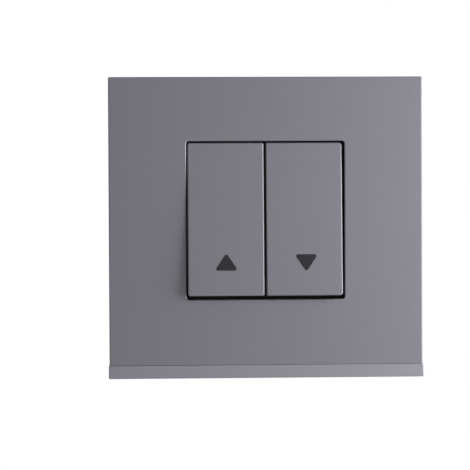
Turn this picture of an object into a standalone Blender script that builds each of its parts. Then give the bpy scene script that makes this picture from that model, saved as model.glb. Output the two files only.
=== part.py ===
"""Two-key roller shutter switch for a round wall box, as a Blender model.

X points right and Z up as seen by the user, and Y points into the wall. The origin is the centre
of the window of the cover plate, on the plane of the wall. Lengths are metres, angles degrees.
Every piece is drawn with the keys level. The moving ones hang on an empty on their joint axis,
which tips them to where they rest.
"""

import math

import bmesh
import bpy
from mathutils import Matrix

# Clearances
seat_gap = 0.0003  # between faces that rest on each other
running_gap = 0.0002  # round the trunnions
plunger_gap = 0.0003  # round a plunger in its bore
key_gap = 0.0007  # between the two keys
key_side_gap = 0.00065  # between a key and the side of the window
key_end_gap = 0.0008  # between a level key and the top or bottom of the window

# Modules and keys
module_pitch = 0.0225
module_height = 0.0450
key_margin = 0.00055  # by which a key is shorter than its module, at each end
key_projection = 0.0100  # from the wall to the face of a level key
key_depth = 0.0040
key_face_wall = 0.0018
key_side_wall = 0.0014
key_outer_radius = 0.0010
key_inner_radius = 0.0007
key_edge_round = 0.00035
pivot_projection = 0.0045  # from the wall to the axis of the trunnions
rest_tilt = 3.5  # the lower end stands out by this at rest
press_tilt = 3.0  # and goes in by this when pressed

# Cover plate
plate_width = 0.0900
plate_height = 0.0825
plate_projection = 0.0090
plate_depth = 0.0045
plate_face_wall = 0.0020
plate_side_wall = 0.0018
plate_edge_round = 0.0004
window_radius = 0.0014
window_chamfer = 0.0003
collar_wall = 0.0012
plate_rib = 0.0010
plate_rib_height = 0.0018
leg_thickness = 0.0012
leg_width = 0.0046
leg_inset = 0.0050  # from the side of the plate to the middle of a snap leg
leg_spacing = 0.0240
leg_length = 0.0056
barb_depth = 0.0006

# Base frame
frame_inset = 0.0010  # shadow joint behind the edge of the plate
frame_face_wall = 0.0014
frame_wall = 0.0012
frame_flange = 0.0012
frame_flange_reach = 0.0030
frame_web = 0.0010
lip_overhang = 0.0002
lip_groove = 0.00045
lip_height = 0.0035
lip_setback = 0.0011  # from the face of the plate to the upper edge of the lip
lip_lean = 20.0  # the face of the lip leans out at the foot, in degrees
lip_top_round = 0.0009
lip_round = 0.0004
lip_wall = 0.0012

# Mounting support and its screws
support_size = 0.0710
support_corner = 0.0060
support_sheet = 0.0012
support_play = 0.0005
housing_play = 0.0004
box_screw_spacing = 0.0600
screw_slot_width = 0.0038
screw_slot_length = 0.0082
corner_hole_spacing = 0.0560
corner_hole_radius = 0.0016
box_screw_head_radius = 0.00325
box_screw_head_height = 0.0022
box_screw_dome = ((0.72, 0.10), (0.94, 0.35), (1.0, 0.70))  # shares of radius and height, from the top
box_screw_shank_radius = 0.0016
box_screw_tip_radius = 0.00064
box_screw_length = 0.0180
screw_slot_depth = 0.0009
screw_slot_gap = 0.0008

# Cover of the mechanism
cover_flange = 0.0012
cover_margin = 0.0002
cover_corner = 0.0010
cover_rim = 0.0012
cover_rim_length = 0.0035
bearing_wall = 0.0016
bearing_half_length = 0.0029
bearing_rise = 0.0015  # of the bearing blocks in front of the axis
bearing_back = 0.0014
bearing_mouth = 0.0022
tongue_width = 0.0050
tongue_length = 0.0035
tongue_neck = 0.0014  # length of a tongue in front of its barb
tongue_barb = 0.0010
pocket_wall = 0.0010
pocket_floor = 0.0008
pocket_depth = 0.0020
stop_offset = 0.0165
stop_length = 0.0020
stop_width = 0.0080

# Housing of the mechanism
housing_margin = 0.0010  # by which it is narrower than its modules, at each side
housing_wall = 0.0015
housing_depth = 0.0240  # from the wall to the back of the housing
housing_chamfer = 0.0050
partition_wall = 0.0015
clip_height = 0.0009
clip_length = 0.0030
clip_width = 0.0040
clip_offset = 0.0100
post_length = 0.0030

# Rocker, plunger and springs
rocker_plate = 0.0014
rocker_width = 0.0178
rocker_height = 0.0360
rocker_corner = 0.0012
ear_wall = 0.0012
ear_radius = 0.0020
ear_foot = 0.0040
trunnion_radius = 0.0012
trunnion_length = 0.0017
trunnion_spread = 0.0126  # over the outer faces of the ears
stem_radius = 0.0031
stem_length = 0.0105  # behind the pivot
bore_radius = 0.0021
bore_setback = 0.0009  # from the plate of the rocker to the floor of the bore
hook_offset = 0.0130
hook_spread = 0.0148
hook_thickness = 0.0010
hook_width = 0.0030
hook_tail = 0.0006
nose_reach = 0.0125  # from the pivot to the tip of the plunger
plunger_body = 0.0050
spigot_radius = 0.0009
spigot_length = 0.0014
spring_wire = 0.0002  # radius of the wire
spring_end_pitch = 1.6  # of an end turn, in thicknesses of the wire
plunger_spring_turns = 6
return_spring_radius = 0.0021
return_spring_turns = 5
return_spring_offset = 0.0120
return_spigot_radius = 0.0014
return_spigot_length = 0.0010

# Contacts
lever_half_length = 0.0092
lever_width = 0.0050
lever_sheet = 0.0008
lever_seat = 0.0006  # from the front face of a lever to its fulcrum axis
lever_tilt = 6.0
lever_flange = 0.0005
lever_flange_height = 0.0012
lever_flange_half_length = 0.0055
lever_groove = 0.0003
lever_groove_spread = 2.5  # half the width of the groove, in depths
button_radius = 0.0012
button_height = 0.0007
button_offset = 0.0080
strip_width = 0.0044
strip_sheet = 0.0008
line_strip_drop = 0.0011  # clear way between the link and the line strip behind it
link_height = 0.0026

# Terminals
terminal_offset = 0.0145  # from the middle of the switch to the middle of a terminal
wire_space_width = 0.0050
wire_space_height = 0.0058
terminal_wall = 0.0012
terminal_length = 0.0070
terminal_rib = 0.0010
entry_size = 0.0050
terminal_screw_radius = 0.0015
terminal_screw_head_radius = 0.0025
terminal_screw_head_height = 0.0015
terminal_screw_reach = 0.0010
terminal_screw_edge = 0.0002

# Sides of the polygons that stand for round shapes
corner_steps = 4
slot_end_steps = 6
lip_steps = 3
ear_steps = 8
nose_steps = 5
hole_sides = 12
round_sides = 20
small_round_sides = 16
spring_points_per_turn = 10

# Settings of the drawing
overlap = 0.0002  # by which shapes that are joined into one piece run into each other
merge_distance = 0.000001
flat_angle = 0.5  # between facets that count as one
axis_mark_size = 0.0050

# Places worked out from the sizes above
key_width = module_pitch - key_gap
key_height = module_height - 2 * key_margin
window_width = 2 * key_width + key_gap + 2 * key_side_gap
window_height = key_height + 2 * key_end_gap
plate_front = -plate_projection
plate_back = plate_front + plate_depth
plate_inner_face = plate_front + plate_face_wall
frame_front = plate_back + seat_gap
support_back = -(frame_flange + seat_gap)
support_front = support_back - support_sheet
cover_back = support_front - seat_gap
cover_front = cover_back - cover_flange
pivot_y = -pivot_projection
key_front = -key_projection
key_inner_face = key_front + key_face_wall
rocker_front = key_inner_face + seat_gap
rocker_back = rocker_front + rocker_plate
cover_half_width = module_pitch - cover_margin
cover_half_height = module_height / 2 - cover_margin
housing_half_width = module_pitch - housing_margin
housing_half_height = module_height / 2 - housing_margin
housing_front = support_front
housing_inner_back = housing_depth - housing_wall
side_centre = {"up": -module_pitch / 2, "down": module_pitch / 2}
nose_radius = bore_radius - plunger_gap
bore_front = rocker_back + bore_setback

# Where the seesaw contact sits: its tilted front face stays a seat gap off the plunger's nose
nose_centre_reach = nose_reach - nose_radius
nose_centre_y = pivot_y + nose_centre_reach * math.cos(math.radians(rest_tilt))
nose_centre_z = nose_centre_reach * math.sin(math.radians(rest_tilt))
fulcrum_y = nose_centre_y + (
    lever_seat + nose_radius + seat_gap - nose_centre_z * math.sin(math.radians(lever_tilt))
) / math.cos(math.radians(lever_tilt))
lever_back = fulcrum_y - lever_seat + lever_sheet
contact_face = (
    fulcrum_y
    + (lever_back - fulcrum_y + button_height) * math.cos(math.radians(lever_tilt))
    + (button_offset + button_radius) * math.sin(math.radians(lever_tilt))
    + seat_gap
)
contact_strip_front = contact_face + button_height
contact_strip_back = contact_strip_front + strip_sheet
line_strip_front = contact_strip_back + line_strip_drop
line_strip_back = line_strip_front + strip_sheet

# Terminals, as distances from the middle of the switch
terminal_back = housing_inner_back - seat_gap
terminal_front = terminal_back - terminal_length
space_inner = terminal_offset - wire_space_height / 2
space_outer = terminal_offset + wire_space_height / 2
terminal_inner = space_inner - terminal_wall
terminal_outer = space_outer + terminal_wall
tail_centre = space_inner + seat_gap + strip_sheet / 2
wire_centre = (tail_centre + strip_sheet / 2 + space_outer) / 2
terminal_half_width = wire_space_width / 2 + terminal_wall
terminal_screw_y = (terminal_front + terminal_back) / 2

# Axes of flat outlines: the plane they lie in and the way they are extruded
FRONT = Matrix(((1, 0, 0), (0, 0, -1), (0, 1, 0))).to_4x4()  # outline in X and Z, thick along Y
SIDE = Matrix(((0, 0, 1), (1, 0, 0), (0, 1, 0))).to_4x4()  # outline in Y and Z, thick along X
FLAT = Matrix.Identity(4)  # outline in X and Y, thick along Z


# Scene, materials and joints
for old in list(bpy.data.objects):
    bpy.data.objects.remove(old, do_unlink=True)


def new_collection(name, parent):
    collection = bpy.data.collections.new(name)
    parent.children.link(collection)
    return collection


pieces = new_collection("roller_shutter_switch", bpy.context.scene.collection)
helpers = new_collection("cutters_and_added_shapes", bpy.context.scene.collection)


def finish(name, colour, roughness, metallic):
    """A Principled material with one colour, as linear red, green and blue."""
    material = bpy.data.materials.new(name)
    material.use_nodes = True
    shader = material.node_tree.nodes["Principled BSDF"]
    shader.inputs["Base Color"].default_value = (*colour, 1.0)
    shader.inputs["Roughness"].default_value = roughness
    shader.inputs["Metallic"].default_value = metallic
    material.diffuse_color = (*colour, 1.0)
    return material


def joint_empty(name, y, tilt):
    """An empty on an axis along X at depth y. Its children are drawn level and tip with it."""
    empty = bpy.data.objects.new(name, None)
    empty.empty_display_size = axis_mark_size
    pieces.objects.link(empty)
    empty.location = (0, y, 0)
    empty.rotation_euler = (math.radians(tilt), 0, 0)
    return empty


def hang(obj, empty):
    if empty is not None:
        obj.parent = empty
        obj.matrix_parent_inverse = Matrix.Translation(-empty.location)


# Basic shapes
def helper_object(mesh):
    obj = bpy.data.objects.new(mesh.name, mesh)
    helpers.objects.link(obj)
    return obj


def mesh_from(bm, name):
    mesh = bpy.data.meshes.new(name)
    bm.to_mesh(mesh)
    bm.free()
    return mesh


def box(name, x, y, z):
    """A box between two values on each axis."""
    bm = bmesh.new()
    bmesh.ops.create_cube(bm, size=1.0)
    bmesh.ops.scale(bm, vec=(x[1] - x[0], y[1] - y[0], z[1] - z[0]), verts=bm.verts)
    centre = (sum(x) / 2, sum(y) / 2, sum(z) / 2)
    bmesh.ops.translate(bm, vec=centre, verts=bm.verts)
    return helper_object(mesh_from(bm, name))


def cylinder(name, radius, axis, span, across, sides=round_sides):
    """A cylinder along an axis, between two values on it, with its centre at two others."""
    bm = bmesh.new()
    bmesh.ops.create_cone(
        bm, cap_ends=True, segments=sides, radius1=radius, radius2=radius, depth=span[1] - span[0]
    )
    middle = sum(span) / 2
    if axis == "X":
        place = Matrix.Translation((middle, *across)) @ Matrix.Rotation(math.pi / 2, 4, "Y")
    elif axis == "Y":
        place = Matrix.Translation((across[0], middle, across[1])) @ Matrix.Rotation(math.pi / 2, 4, "X")
    else:
        place = Matrix.Translation((*across, middle))
    bmesh.ops.transform(bm, matrix=place, verts=bm.verts)
    mesh = mesh_from(bm, name)
    return helper_object(mesh)


def arc(centre, radius, start, end, steps):
    """Points of an arc between two angles in degrees, both ends included."""
    angles = [math.radians(start + (end - start) * i / steps) for i in range(steps + 1)]
    return [(centre[0] + radius * math.cos(a), centre[1] + radius * math.sin(a)) for a in angles]


def circle(centre, radius, sides):
    return arc(centre, radius, 0, 360 - 360 / sides, sides - 1)


def rounded_rectangle(x, z, radii):
    """Its corners and their radii run right low, right high, left high, left low."""
    corners = (
        (x[1], z[0], -1, 1, -90),
        (x[1], z[1], -1, -1, 0),
        (x[0], z[1], 1, -1, 90),
        (x[0], z[0], 1, 1, 180),
    )
    points = []
    for (cx, cz, way_x, way_z, start), radius in zip(corners, radii):
        centre = (cx + way_x * radius, cz + way_z * radius)
        points += arc(centre, radius, start, start + 90, corner_steps)
    return points


def rectangle(x, z):
    return [(x[1], z[0]), (x[1], z[1]), (x[0], z[1]), (x[0], z[0])]


def chamfered_rectangle(half_x, half_z, chamfer):
    """A centred rectangle with its corners cut off at 45 degrees."""
    inner_x = half_x - chamfer
    inner_z = half_z - chamfer
    return [
        (inner_x, -half_z), (half_x, -inner_z), (half_x, inner_z), (inner_x, half_z),
        (-inner_x, half_z), (-half_x, inner_z), (-half_x, -inner_z), (-inner_x, -half_z),
    ]


def slot_outline(centre, length, width, along_x):
    """A slot with round ends, along X or along Z."""
    reach = (length - width) / 2
    turn = 0 if along_x else 90
    step = (reach, 0) if along_x else (0, reach)
    first = (centre[0] + step[0], centre[1] + step[1])
    second = (centre[0] - step[0], centre[1] - step[1])
    return [
        *arc(first, width / 2, turn - 90, turn + 90, slot_end_steps),
        *arc(second, width / 2, turn + 90, turn + 270, slot_end_steps),
    ]


def prism(name, outlines, plane, span, bevel=0.0):
    """A flat curve of one outline, or more where it has holes, extruded from span[0] to span[1].

    A bevel widens it by that much between its ends, which keep the outline."""
    curve = bpy.data.curves.new(name, "CURVE")
    curve.dimensions = "2D"
    curve.fill_mode = "BOTH"
    curve.extrude = (span[1] - span[0]) / 2 - bevel
    curve.bevel_depth = bevel
    curve.bevel_resolution = 0
    for outline in outlines:
        spline = curve.splines.new("POLY")
        spline.points.add(len(outline) - 1)
        for point, (u, v) in zip(spline.points, outline):
            point.co = (u, v, 0, 1)
        spline.use_cyclic_u = True
    drawn = bpy.data.objects.new(name, curve)
    helpers.objects.link(drawn)
    bpy.context.view_layer.update()
    drawn_mesh = bpy.data.meshes.new_from_object(
        drawn.evaluated_get(bpy.context.evaluated_depsgraph_get())
    )
    bpy.data.objects.remove(drawn)
    bm = bmesh.new()
    bm.from_mesh(drawn_mesh)
    bpy.data.meshes.remove(drawn_mesh)
    bmesh.ops.remove_doubles(bm, verts=bm.verts, dist=merge_distance)
    bmesh.ops.dissolve_limit(
        bm, angle_limit=math.radians(flat_angle), verts=bm.verts, edges=bm.edges
    )
    way = plane.to_3x3() @ Matrix.Identity(3).col[2]
    middle = sum(span) / 2
    bmesh.ops.transform(bm, matrix=plane, verts=bm.verts)
    bmesh.ops.translate(bm, vec=[abs(c) * middle for c in way], verts=bm.verts)
    bmesh.ops.recalc_face_normals(bm, faces=bm.faces)
    return helper_object(mesh_from(bm, name))


def turned(name, profile, place):
    """A profile of (radius, height) pairs, listed from the top down, turned about its axis."""
    bm = bmesh.new()
    points = [bm.verts.new((radius, 0, height)) for radius, height in profile]
    for first, second in zip(points, points[1:]):
        bm.edges.new((first, second))
    obj = helper_object(mesh_from(bm, name))
    obj.matrix_world = place
    screw = obj.modifiers.new("turn", "SCREW")
    screw.steps = screw.render_steps = small_round_sides
    screw.use_merge_vertices = True
    screw.merge_threshold = merge_distance
    screw.use_smooth_shade = True
    return obj


def soften(obj, radius, chosen, segments=2):
    """Rounds the edges whose two ends both pass the test."""
    mesh = obj.data
    weights = mesh.attributes.new("bevel_weight_edge", "FLOAT", "EDGE")
    for edge in mesh.edges:
        first, second = (mesh.vertices[i].co for i in edge.vertices)
        weights.data[edge.index].value = float(chosen(first, second))
    bevel = obj.modifiers.new("round edges", "BEVEL")
    bevel.limit_method = "WEIGHT"
    bevel.width = radius
    bevel.segments = segments
    return obj


def piece(name, blank, material, *steps, empty=None):
    """Makes a helper shape the named piece. Each step is UNION or DIFFERENCE with a list of shapes."""
    helpers.objects.unlink(blank)
    pieces.objects.link(blank)
    blank.name = name
    blank.data.name = name
    blank.data.materials.clear()
    blank.data.materials.append(material)
    hang(blank, empty)
    for operation, shapes in steps:
        group = new_collection(f"{name} {operation.lower()}", helpers)
        for shape in shapes:
            helpers.objects.unlink(shape)
            group.objects.link(shape)
            shape.hide_render = True
            shape.display_type = "WIRE"
            hang(shape, empty)
        boolean = blank.modifiers.new(operation.lower(), "BOOLEAN")
        boolean.operation = operation
        boolean.operand_type = "COLLECTION"
        boolean.collection = group
    return blank


def strip_outline(path, sheet, pointed=False):
    """The section of a folded strip along a path of right-angled bends. It may start in a point."""
    half = sheet / 2
    left, right = [], []
    for i, (u, v) in enumerate(path):
        before = path[max(i - 1, 0)]
        after = path[min(i + 1, len(path) - 1)]
        ways = []
        for (au, av), (bu, bv) in ((before, (u, v)), ((u, v), after)):
            length = math.hypot(bu - au, bv - av)
            if length:
                ways.append(((bu - au) / length, (bv - av) / length))
        side_u = -sum(w[1] for w in {*ways}) * half
        side_v = sum(w[0] for w in {*ways}) * half
        left.append((u + side_u, v + side_v))
        right.append((u - side_u, v - side_v))
    if not pointed:
        return left + right[::-1]
    tip = path[0]
    way_u = (path[1][0] - tip[0]) / math.dist(path[1], tip) * half
    way_v = (path[1][1] - tip[1]) / math.dist(path[1], tip) * half
    left[0] = (left[0][0] + way_u, left[0][1] + way_v)
    right[0] = (right[0][0] + way_u, right[0][1] + way_v)
    return [tip] + left + right[::-1]


def spring(name, material, centre, radius, span, turns, empty=None):
    """A compression spring along Y between two depths, with its end turns closed up."""
    count = turns * spring_points_per_turn
    start = span[0] + spring_wire
    length = span[1] - span[0] - 2 * spring_wire
    end_share = spring_end_pitch * spring_wire * 2 / length  # of the length, used by an end turn
    curve = bpy.data.curves.new(name, "CURVE")
    curve.dimensions = "3D"
    curve.bevel_depth = spring_wire
    curve.bevel_resolution = 2
    curve.use_fill_caps = True
    path = curve.splines.new("POLY")
    path.points.add(count)
    for i, point in enumerate(path.points):
        turn = turns * i / count
        if turn < 1:
            share = end_share * turn
        elif turn > turns - 1:
            share = 1 - end_share * (turns - turn)
        else:
            share = end_share + (1 - 2 * end_share) * (turn - 1) / (turns - 2)
        angle = 2 * math.pi * turn
        x = centre[0] + radius * math.cos(angle)
        z = centre[1] + radius * math.sin(angle)
        point.co = (x, start + length * share, z, 1)
    obj = bpy.data.objects.new(name, curve)
    pieces.objects.link(obj)
    obj.data.materials.append(material)
    hang(obj, empty)
    return obj


# Finishes
paint = finish("satin titanium grey paint", (0.216, 0.209, 0.240), 0.42, 0.55)
black_plastic = finish("black plastic", (0.016, 0.016, 0.018), 0.50, 0.0)
grey_plastic = finish("dark grey plastic", (0.060, 0.060, 0.064), 0.55, 0.0)
white_plastic = finish("white acetal plastic", (0.76, 0.75, 0.72), 0.38, 0.0)
zinc_steel = finish("zinc plated steel", (0.62, 0.62, 0.60), 0.34, 1.0)
spring_steel = finish("spring steel", (0.50, 0.50, 0.50), 0.28, 1.0)
brass = finish("brass", (0.72, 0.52, 0.22), 0.30, 1.0)
copper_strip = finish("tinned copper strip", (0.66, 0.50, 0.38), 0.34, 1.0)


def mirrored(span):
    return (-span[1], -span[0])


def about(centre, half):
    return (centre - half, centre + half)


# Cover plate
def make_cover_plate():
    half_x = plate_width / 2
    half_z = plate_height / 2
    blank = box("plate", (-half_x, half_x), (plate_front, plate_back), (-half_z, half_z))
    soften(blank, plate_edge_round, lambda a, b: min(a.y, b.y) < plate_back - overlap)
    window = rounded_rectangle(
        about(0, window_width / 2), about(0, window_height / 2), [window_radius] * 4
    )
    collar_x = window_width / 2 + collar_wall
    collar_z = window_height / 2 + collar_wall
    collar = rounded_rectangle(
        about(0, collar_x), about(0, collar_z), [window_radius + collar_wall] * 4
    )
    inner_x = half_x - plate_side_wall
    inner_z = half_z - plate_side_wall
    hollow = prism(
        "hollow",
        [rectangle(about(0, inner_x), about(0, inner_z)), collar],
        FRONT,
        (plate_inner_face, plate_back + overlap),
    )
    hole = prism("window", [window], FRONT, (plate_front - overlap, plate_back + overlap))
    chamfer = prism(
        "window chamfer",
        [window],
        FRONT,
        (plate_front - plate_face_wall, plate_front + window_chamfer),
        bevel=window_chamfer,
    )
    rib_span = (plate_inner_face - overlap, plate_inner_face + plate_rib_height)
    added = []
    z_reach = (collar_z - overlap, inner_z + overlap)
    for x in (-module_pitch / 2, 0, module_pitch / 2):
        for z in (z_reach, mirrored(z_reach)):
            added.append(box("rib", about(x, plate_rib / 2), rib_span, z))
    x_reach = (collar_x - overlap, inner_x + overlap)
    for z in (-leg_spacing / 2, leg_spacing / 2):
        for x in (x_reach, mirrored(x_reach)):
            added.append(box("rib", x, rib_span, about(z, plate_rib / 2)))
    leg_end = plate_inner_face + leg_length
    catch = frame_front + frame_face_wall + seat_gap
    for side in (-1, 1):
        centre = half_x - leg_inset
        inner = centre - leg_thickness / 2
        outline = [
            (inner + overlap, catch),
            (inner - barb_depth, catch),
            (inner, leg_end),
            (inner + overlap, leg_end),
        ]
        for z in (-leg_spacing, 0, leg_spacing):
            span = about(side * centre, leg_thickness / 2)
            added.append(box("leg", span, (plate_inner_face - overlap, leg_end), about(z, leg_width / 2)))
            barb = [(side * u, v) for u, v in outline]
            added.append(prism("barb", [barb], FLAT, about(z, leg_width / 2)))
    return piece("cover_plate", blank, paint, ("DIFFERENCE", [hollow, hole, chamfer]), ("UNION", added))


# Base frame with the lip below the plate
def make_base_frame():
    outer_x = plate_width / 2 - frame_inset
    outer_top = plate_height / 2 - frame_inset
    lip_top = -plate_height / 2 - lip_groove
    lip_bottom = lip_top - lip_height
    opening = support_size / 2 + support_play
    outline = rounded_rectangle(
        about(0, outer_x), (lip_top - overlap, outer_top), [0, plate_edge_round, plate_edge_round, 0]
    )
    inside = rounded_rectangle(about(0, opening), about(0, opening), [support_corner] * 4)
    blank = prism("frame", [outline, inside], FRONT, (frame_front, 0))
    lean = math.radians(lip_lean)
    lip_front_top = plate_front + lip_setback
    lip_front_foot = lip_front_top - lip_height * math.tan(lean)
    upper = (
        lip_front_top + lip_top_round * (1 - math.sin(lean)) / math.cos(lean),
        lip_top - lip_top_round,
    )
    lower = (
        lip_front_foot + lip_round * (1 + math.sin(lean)) / math.cos(lean),
        lip_bottom + lip_round,
    )
    lip_section = [
        *arc(upper, lip_top_round, 90, 180 - lip_lean, lip_steps),
        *arc(lower, lip_round, 180 - lip_lean, 270, lip_steps),
        (0, lip_bottom),
        (0, lip_top),
    ]
    lip_half = plate_width / 2 + lip_overhang
    lip = prism("lip", [lip_section], SIDE, (-lip_half, lip_half))
    flange_outer = about(0, opening + overlap)
    flange_inner = about(0, opening - frame_flange_reach)
    flange = prism(
        "flange",
        [
            rounded_rectangle(flange_outer, flange_outer, [support_corner] * 4),
            rounded_rectangle(flange_inner, flange_inner, [support_corner] * 4),
        ],
        FRONT,
        (-frame_flange, 0),
    )
    channel_inner = opening + frame_wall
    channel_x = outer_x - frame_wall
    channel_front = frame_front + frame_face_wall
    channel = prism(
        "channel",
        [
            rectangle(about(0, channel_x), (lip_top, outer_top - frame_wall)),
            rounded_rectangle(about(0, channel_inner), about(0, channel_inner), [support_corner] * 4),
        ],
        FRONT,
        (channel_front, overlap),
    )
    core_top = lip_front_top - lip_wall * math.tan(lean) + lip_wall / math.cos(lean)
    core_foot = core_top - (lip_height - 2 * lip_wall) * math.tan(lean)
    lip_core = [
        (overlap, lip_top + overlap),
        (channel_front, lip_top + overlap),
        (channel_front, lip_top - lip_wall),
        (core_top, lip_top - lip_wall),
        (core_foot, lip_bottom + lip_wall),
        (overlap, lip_bottom + lip_wall),
    ]
    core = prism("lip core", [lip_core], SIDE, about(0, channel_x))
    slots = []
    slot_x = plate_width / 2 - leg_inset
    for side in (-1, 1):
        for z in (-leg_spacing, 0, leg_spacing):
            slots.append(
                box(
                    "slot",
                    about(side * slot_x, leg_thickness / 2 + seat_gap),
                    (frame_front - overlap, channel_front + overlap),
                    about(z, leg_width / 2 + seat_gap),
                )
            )
    webs = []
    web_span = (channel_front - overlap, -frame_flange)
    x_reach = (channel_inner - overlap, channel_x + overlap)
    for x in (x_reach, mirrored(x_reach)):
        for half_spacings in (-3, -1, 1, 3):
            z = half_spacings * leg_spacing / 2
            webs.append(box("web", x, web_span, about(z, frame_web / 2)))
    for x in (-leg_spacing, 0, leg_spacing):
        z = (lip_bottom + lip_wall - overlap, -channel_inner + overlap)
        webs.append(box("web", about(x, frame_web / 2), web_span, z))
        z = (channel_inner - overlap, outer_top - frame_wall + overlap)
        webs.append(box("web", about(x, frame_web / 2), web_span, z))
    return piece(
        "base_frame",
        blank,
        paint,
        ("UNION", [lip, flange]),
        ("DIFFERENCE", [channel, core, *slots]),
        ("UNION", webs),
    )


# Mounting support and its two screws
def make_mounting_support():
    half = support_size / 2
    opening_x = housing_half_width + housing_play
    opening_z = housing_half_height + housing_play
    outlines = [
        rounded_rectangle(about(0, half), about(0, half), [support_corner] * 4),
        rectangle(about(0, opening_x), about(0, opening_z)),
    ]
    reach = box_screw_spacing / 2
    for side in (-1, 1):
        outlines.append(slot_outline((side * reach, 0), screw_slot_length, screw_slot_width, False))
        outlines.append(slot_outline((0, side * reach), screw_slot_length, screw_slot_width, True))
        for other in (-1, 1):
            centre = (side * corner_hole_spacing / 2, other * corner_hole_spacing / 2)
            outlines.append(circle(centre, corner_hole_radius, hole_sides))
    sheet = prism("support", outlines, FRONT, (support_front, support_back))
    return piece("mounting_support", sheet, zinc_steel)


def make_box_screw(name, side):
    x = side * box_screw_spacing / 2
    seat = -(support_front - seat_gap)  # height above the wall of the underside of the head
    top = seat + box_screw_head_height
    tip = seat - box_screw_length
    dome = [
        (box_screw_head_radius * across, top - box_screw_head_height * down)
        for across, down in box_screw_dome
    ]
    profile = [
        (0, top),
        *dome,
        (box_screw_head_radius, seat),
        (box_screw_shank_radius, seat),
        (box_screw_shank_radius, tip + box_screw_shank_radius),
        (box_screw_tip_radius, tip),
        (0, tip),
    ]
    place = Matrix.Translation((x, 0, 0)) @ Matrix.Rotation(math.pi / 2, 4, "X")
    blank = turned("screw", profile, place)
    slot = box(
        "slot",
        about(x, screw_slot_gap / 2),
        (-top - overlap, -top + screw_slot_depth),
        about(0, box_screw_head_radius + overlap),
    )
    return piece(name, blank, zinc_steel, ("DIFFERENCE", [slot]))


# Cover of the mechanism, which carries the bearings of the rockers
def swung_y(y, z, tilt):
    """Depth of a point, given level, after its key has tipped by so many degrees."""
    angle = math.radians(tilt)
    return pivot_y + (y - pivot_y) * math.cos(angle) - z * math.sin(angle)


def make_mechanism_cover():
    blank = prism(
        "cover",
        [
            rounded_rectangle(
                about(0, cover_half_width), about(0, cover_half_height), [cover_corner] * 4
            )
        ],
        FRONT,
        (cover_front, cover_back),
    )
    rim_x = housing_half_width - housing_wall - seat_gap
    rim_z = housing_half_height - housing_wall - seat_gap
    shrink = 2 - math.sqrt(2)
    rim_chamfer = housing_chamfer - shrink * (housing_wall + seat_gap)
    rim_back = cover_back + cover_rim_length
    rim = prism(
        "rim",
        [
            chamfered_rectangle(rim_x, rim_z, rim_chamfer),
            chamfered_rectangle(rim_x - cover_rim, rim_z - cover_rim, rim_chamfer - shrink * cover_rim),
        ],
        FRONT,
        (cover_back - overlap, rim_back),
    )
    added = [rim]
    cuts = []
    tongue_end = rim_back + tongue_length
    catch = rim_back + tongue_neck
    ear_outer = trunnion_spread / 2
    bearing_inner = ear_outer + seat_gap
    bearing_front = pivot_y - bearing_rise
    pocket_radius = return_spring_radius + spring_wire + seat_gap
    for centre in side_centre.values():
        for end in (-1, 1):
            z = (rim_z - cover_rim, rim_z) if end > 0 else (-rim_z, cover_rim - rim_z)
            added.append(
                box("tongue", about(centre, tongue_width / 2), (rim_back - overlap, tongue_end), z)
            )
            barb = [
                (catch, end * (rim_z - overlap)),
                (catch, end * (rim_z + tongue_barb)),
                (tongue_end, end * rim_z),
                (tongue_end, end * (rim_z - overlap)),
            ]
            added.append(prism("tongue barb", [barb], SIDE, about(centre, tongue_width / 2)))
        for side in (-1, 1):
            x = (bearing_inner - overlap, bearing_inner + bearing_wall)
            added.append(
                box(
                    "bearing",
                    [centre + side * value for value in x][::side],
                    (bearing_front, pivot_y + trunnion_radius + running_gap + bearing_back),
                    about(0, bearing_half_length),
                )
            )
        trunnions = about(centre, bearing_inner + bearing_wall + overlap)
        cuts.append(
            cylinder("bearing bore", trunnion_radius + running_gap, "X", trunnions, (pivot_y, 0))
        )
        cuts.append(
            box("mouth", trunnions, (bearing_front - overlap, pivot_y), about(0, bearing_mouth / 2))
        )
        cuts.append(
            box(
                "key opening",
                about(centre, bearing_inner),
                (bearing_front - overlap, rim_back),
                about(0, stem_radius + key_gap),
            )
        )
        place = (centre, -return_spring_offset)
        pocket_back = cover_front + pocket_depth
        pocket_span = (cover_back - overlap, pocket_back + pocket_floor)
        added.append(cylinder("pocket", pocket_radius + pocket_wall, "Y", pocket_span, place))
        bore_span = (cover_front - overlap, pocket_back)
        cuts.append(cylinder("pocket bore", pocket_radius, "Y", bore_span, place))
        outer = stop_offset + stop_length / 2
        for end, tilt in ((1, -rest_tilt), (-1, press_tilt)):
            front = swung_y(rocker_back, end * outer, tilt) + seat_gap
            added.append(
                box(
                    "stop",
                    about(centre, stop_width / 2),
                    (front, cover_front + overlap),
                    about(end * stop_offset, stop_length / 2),
                )
            )
    return piece("mechanism_cover", blank, black_plastic, ("UNION", added), ("DIFFERENCE", cuts))


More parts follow.
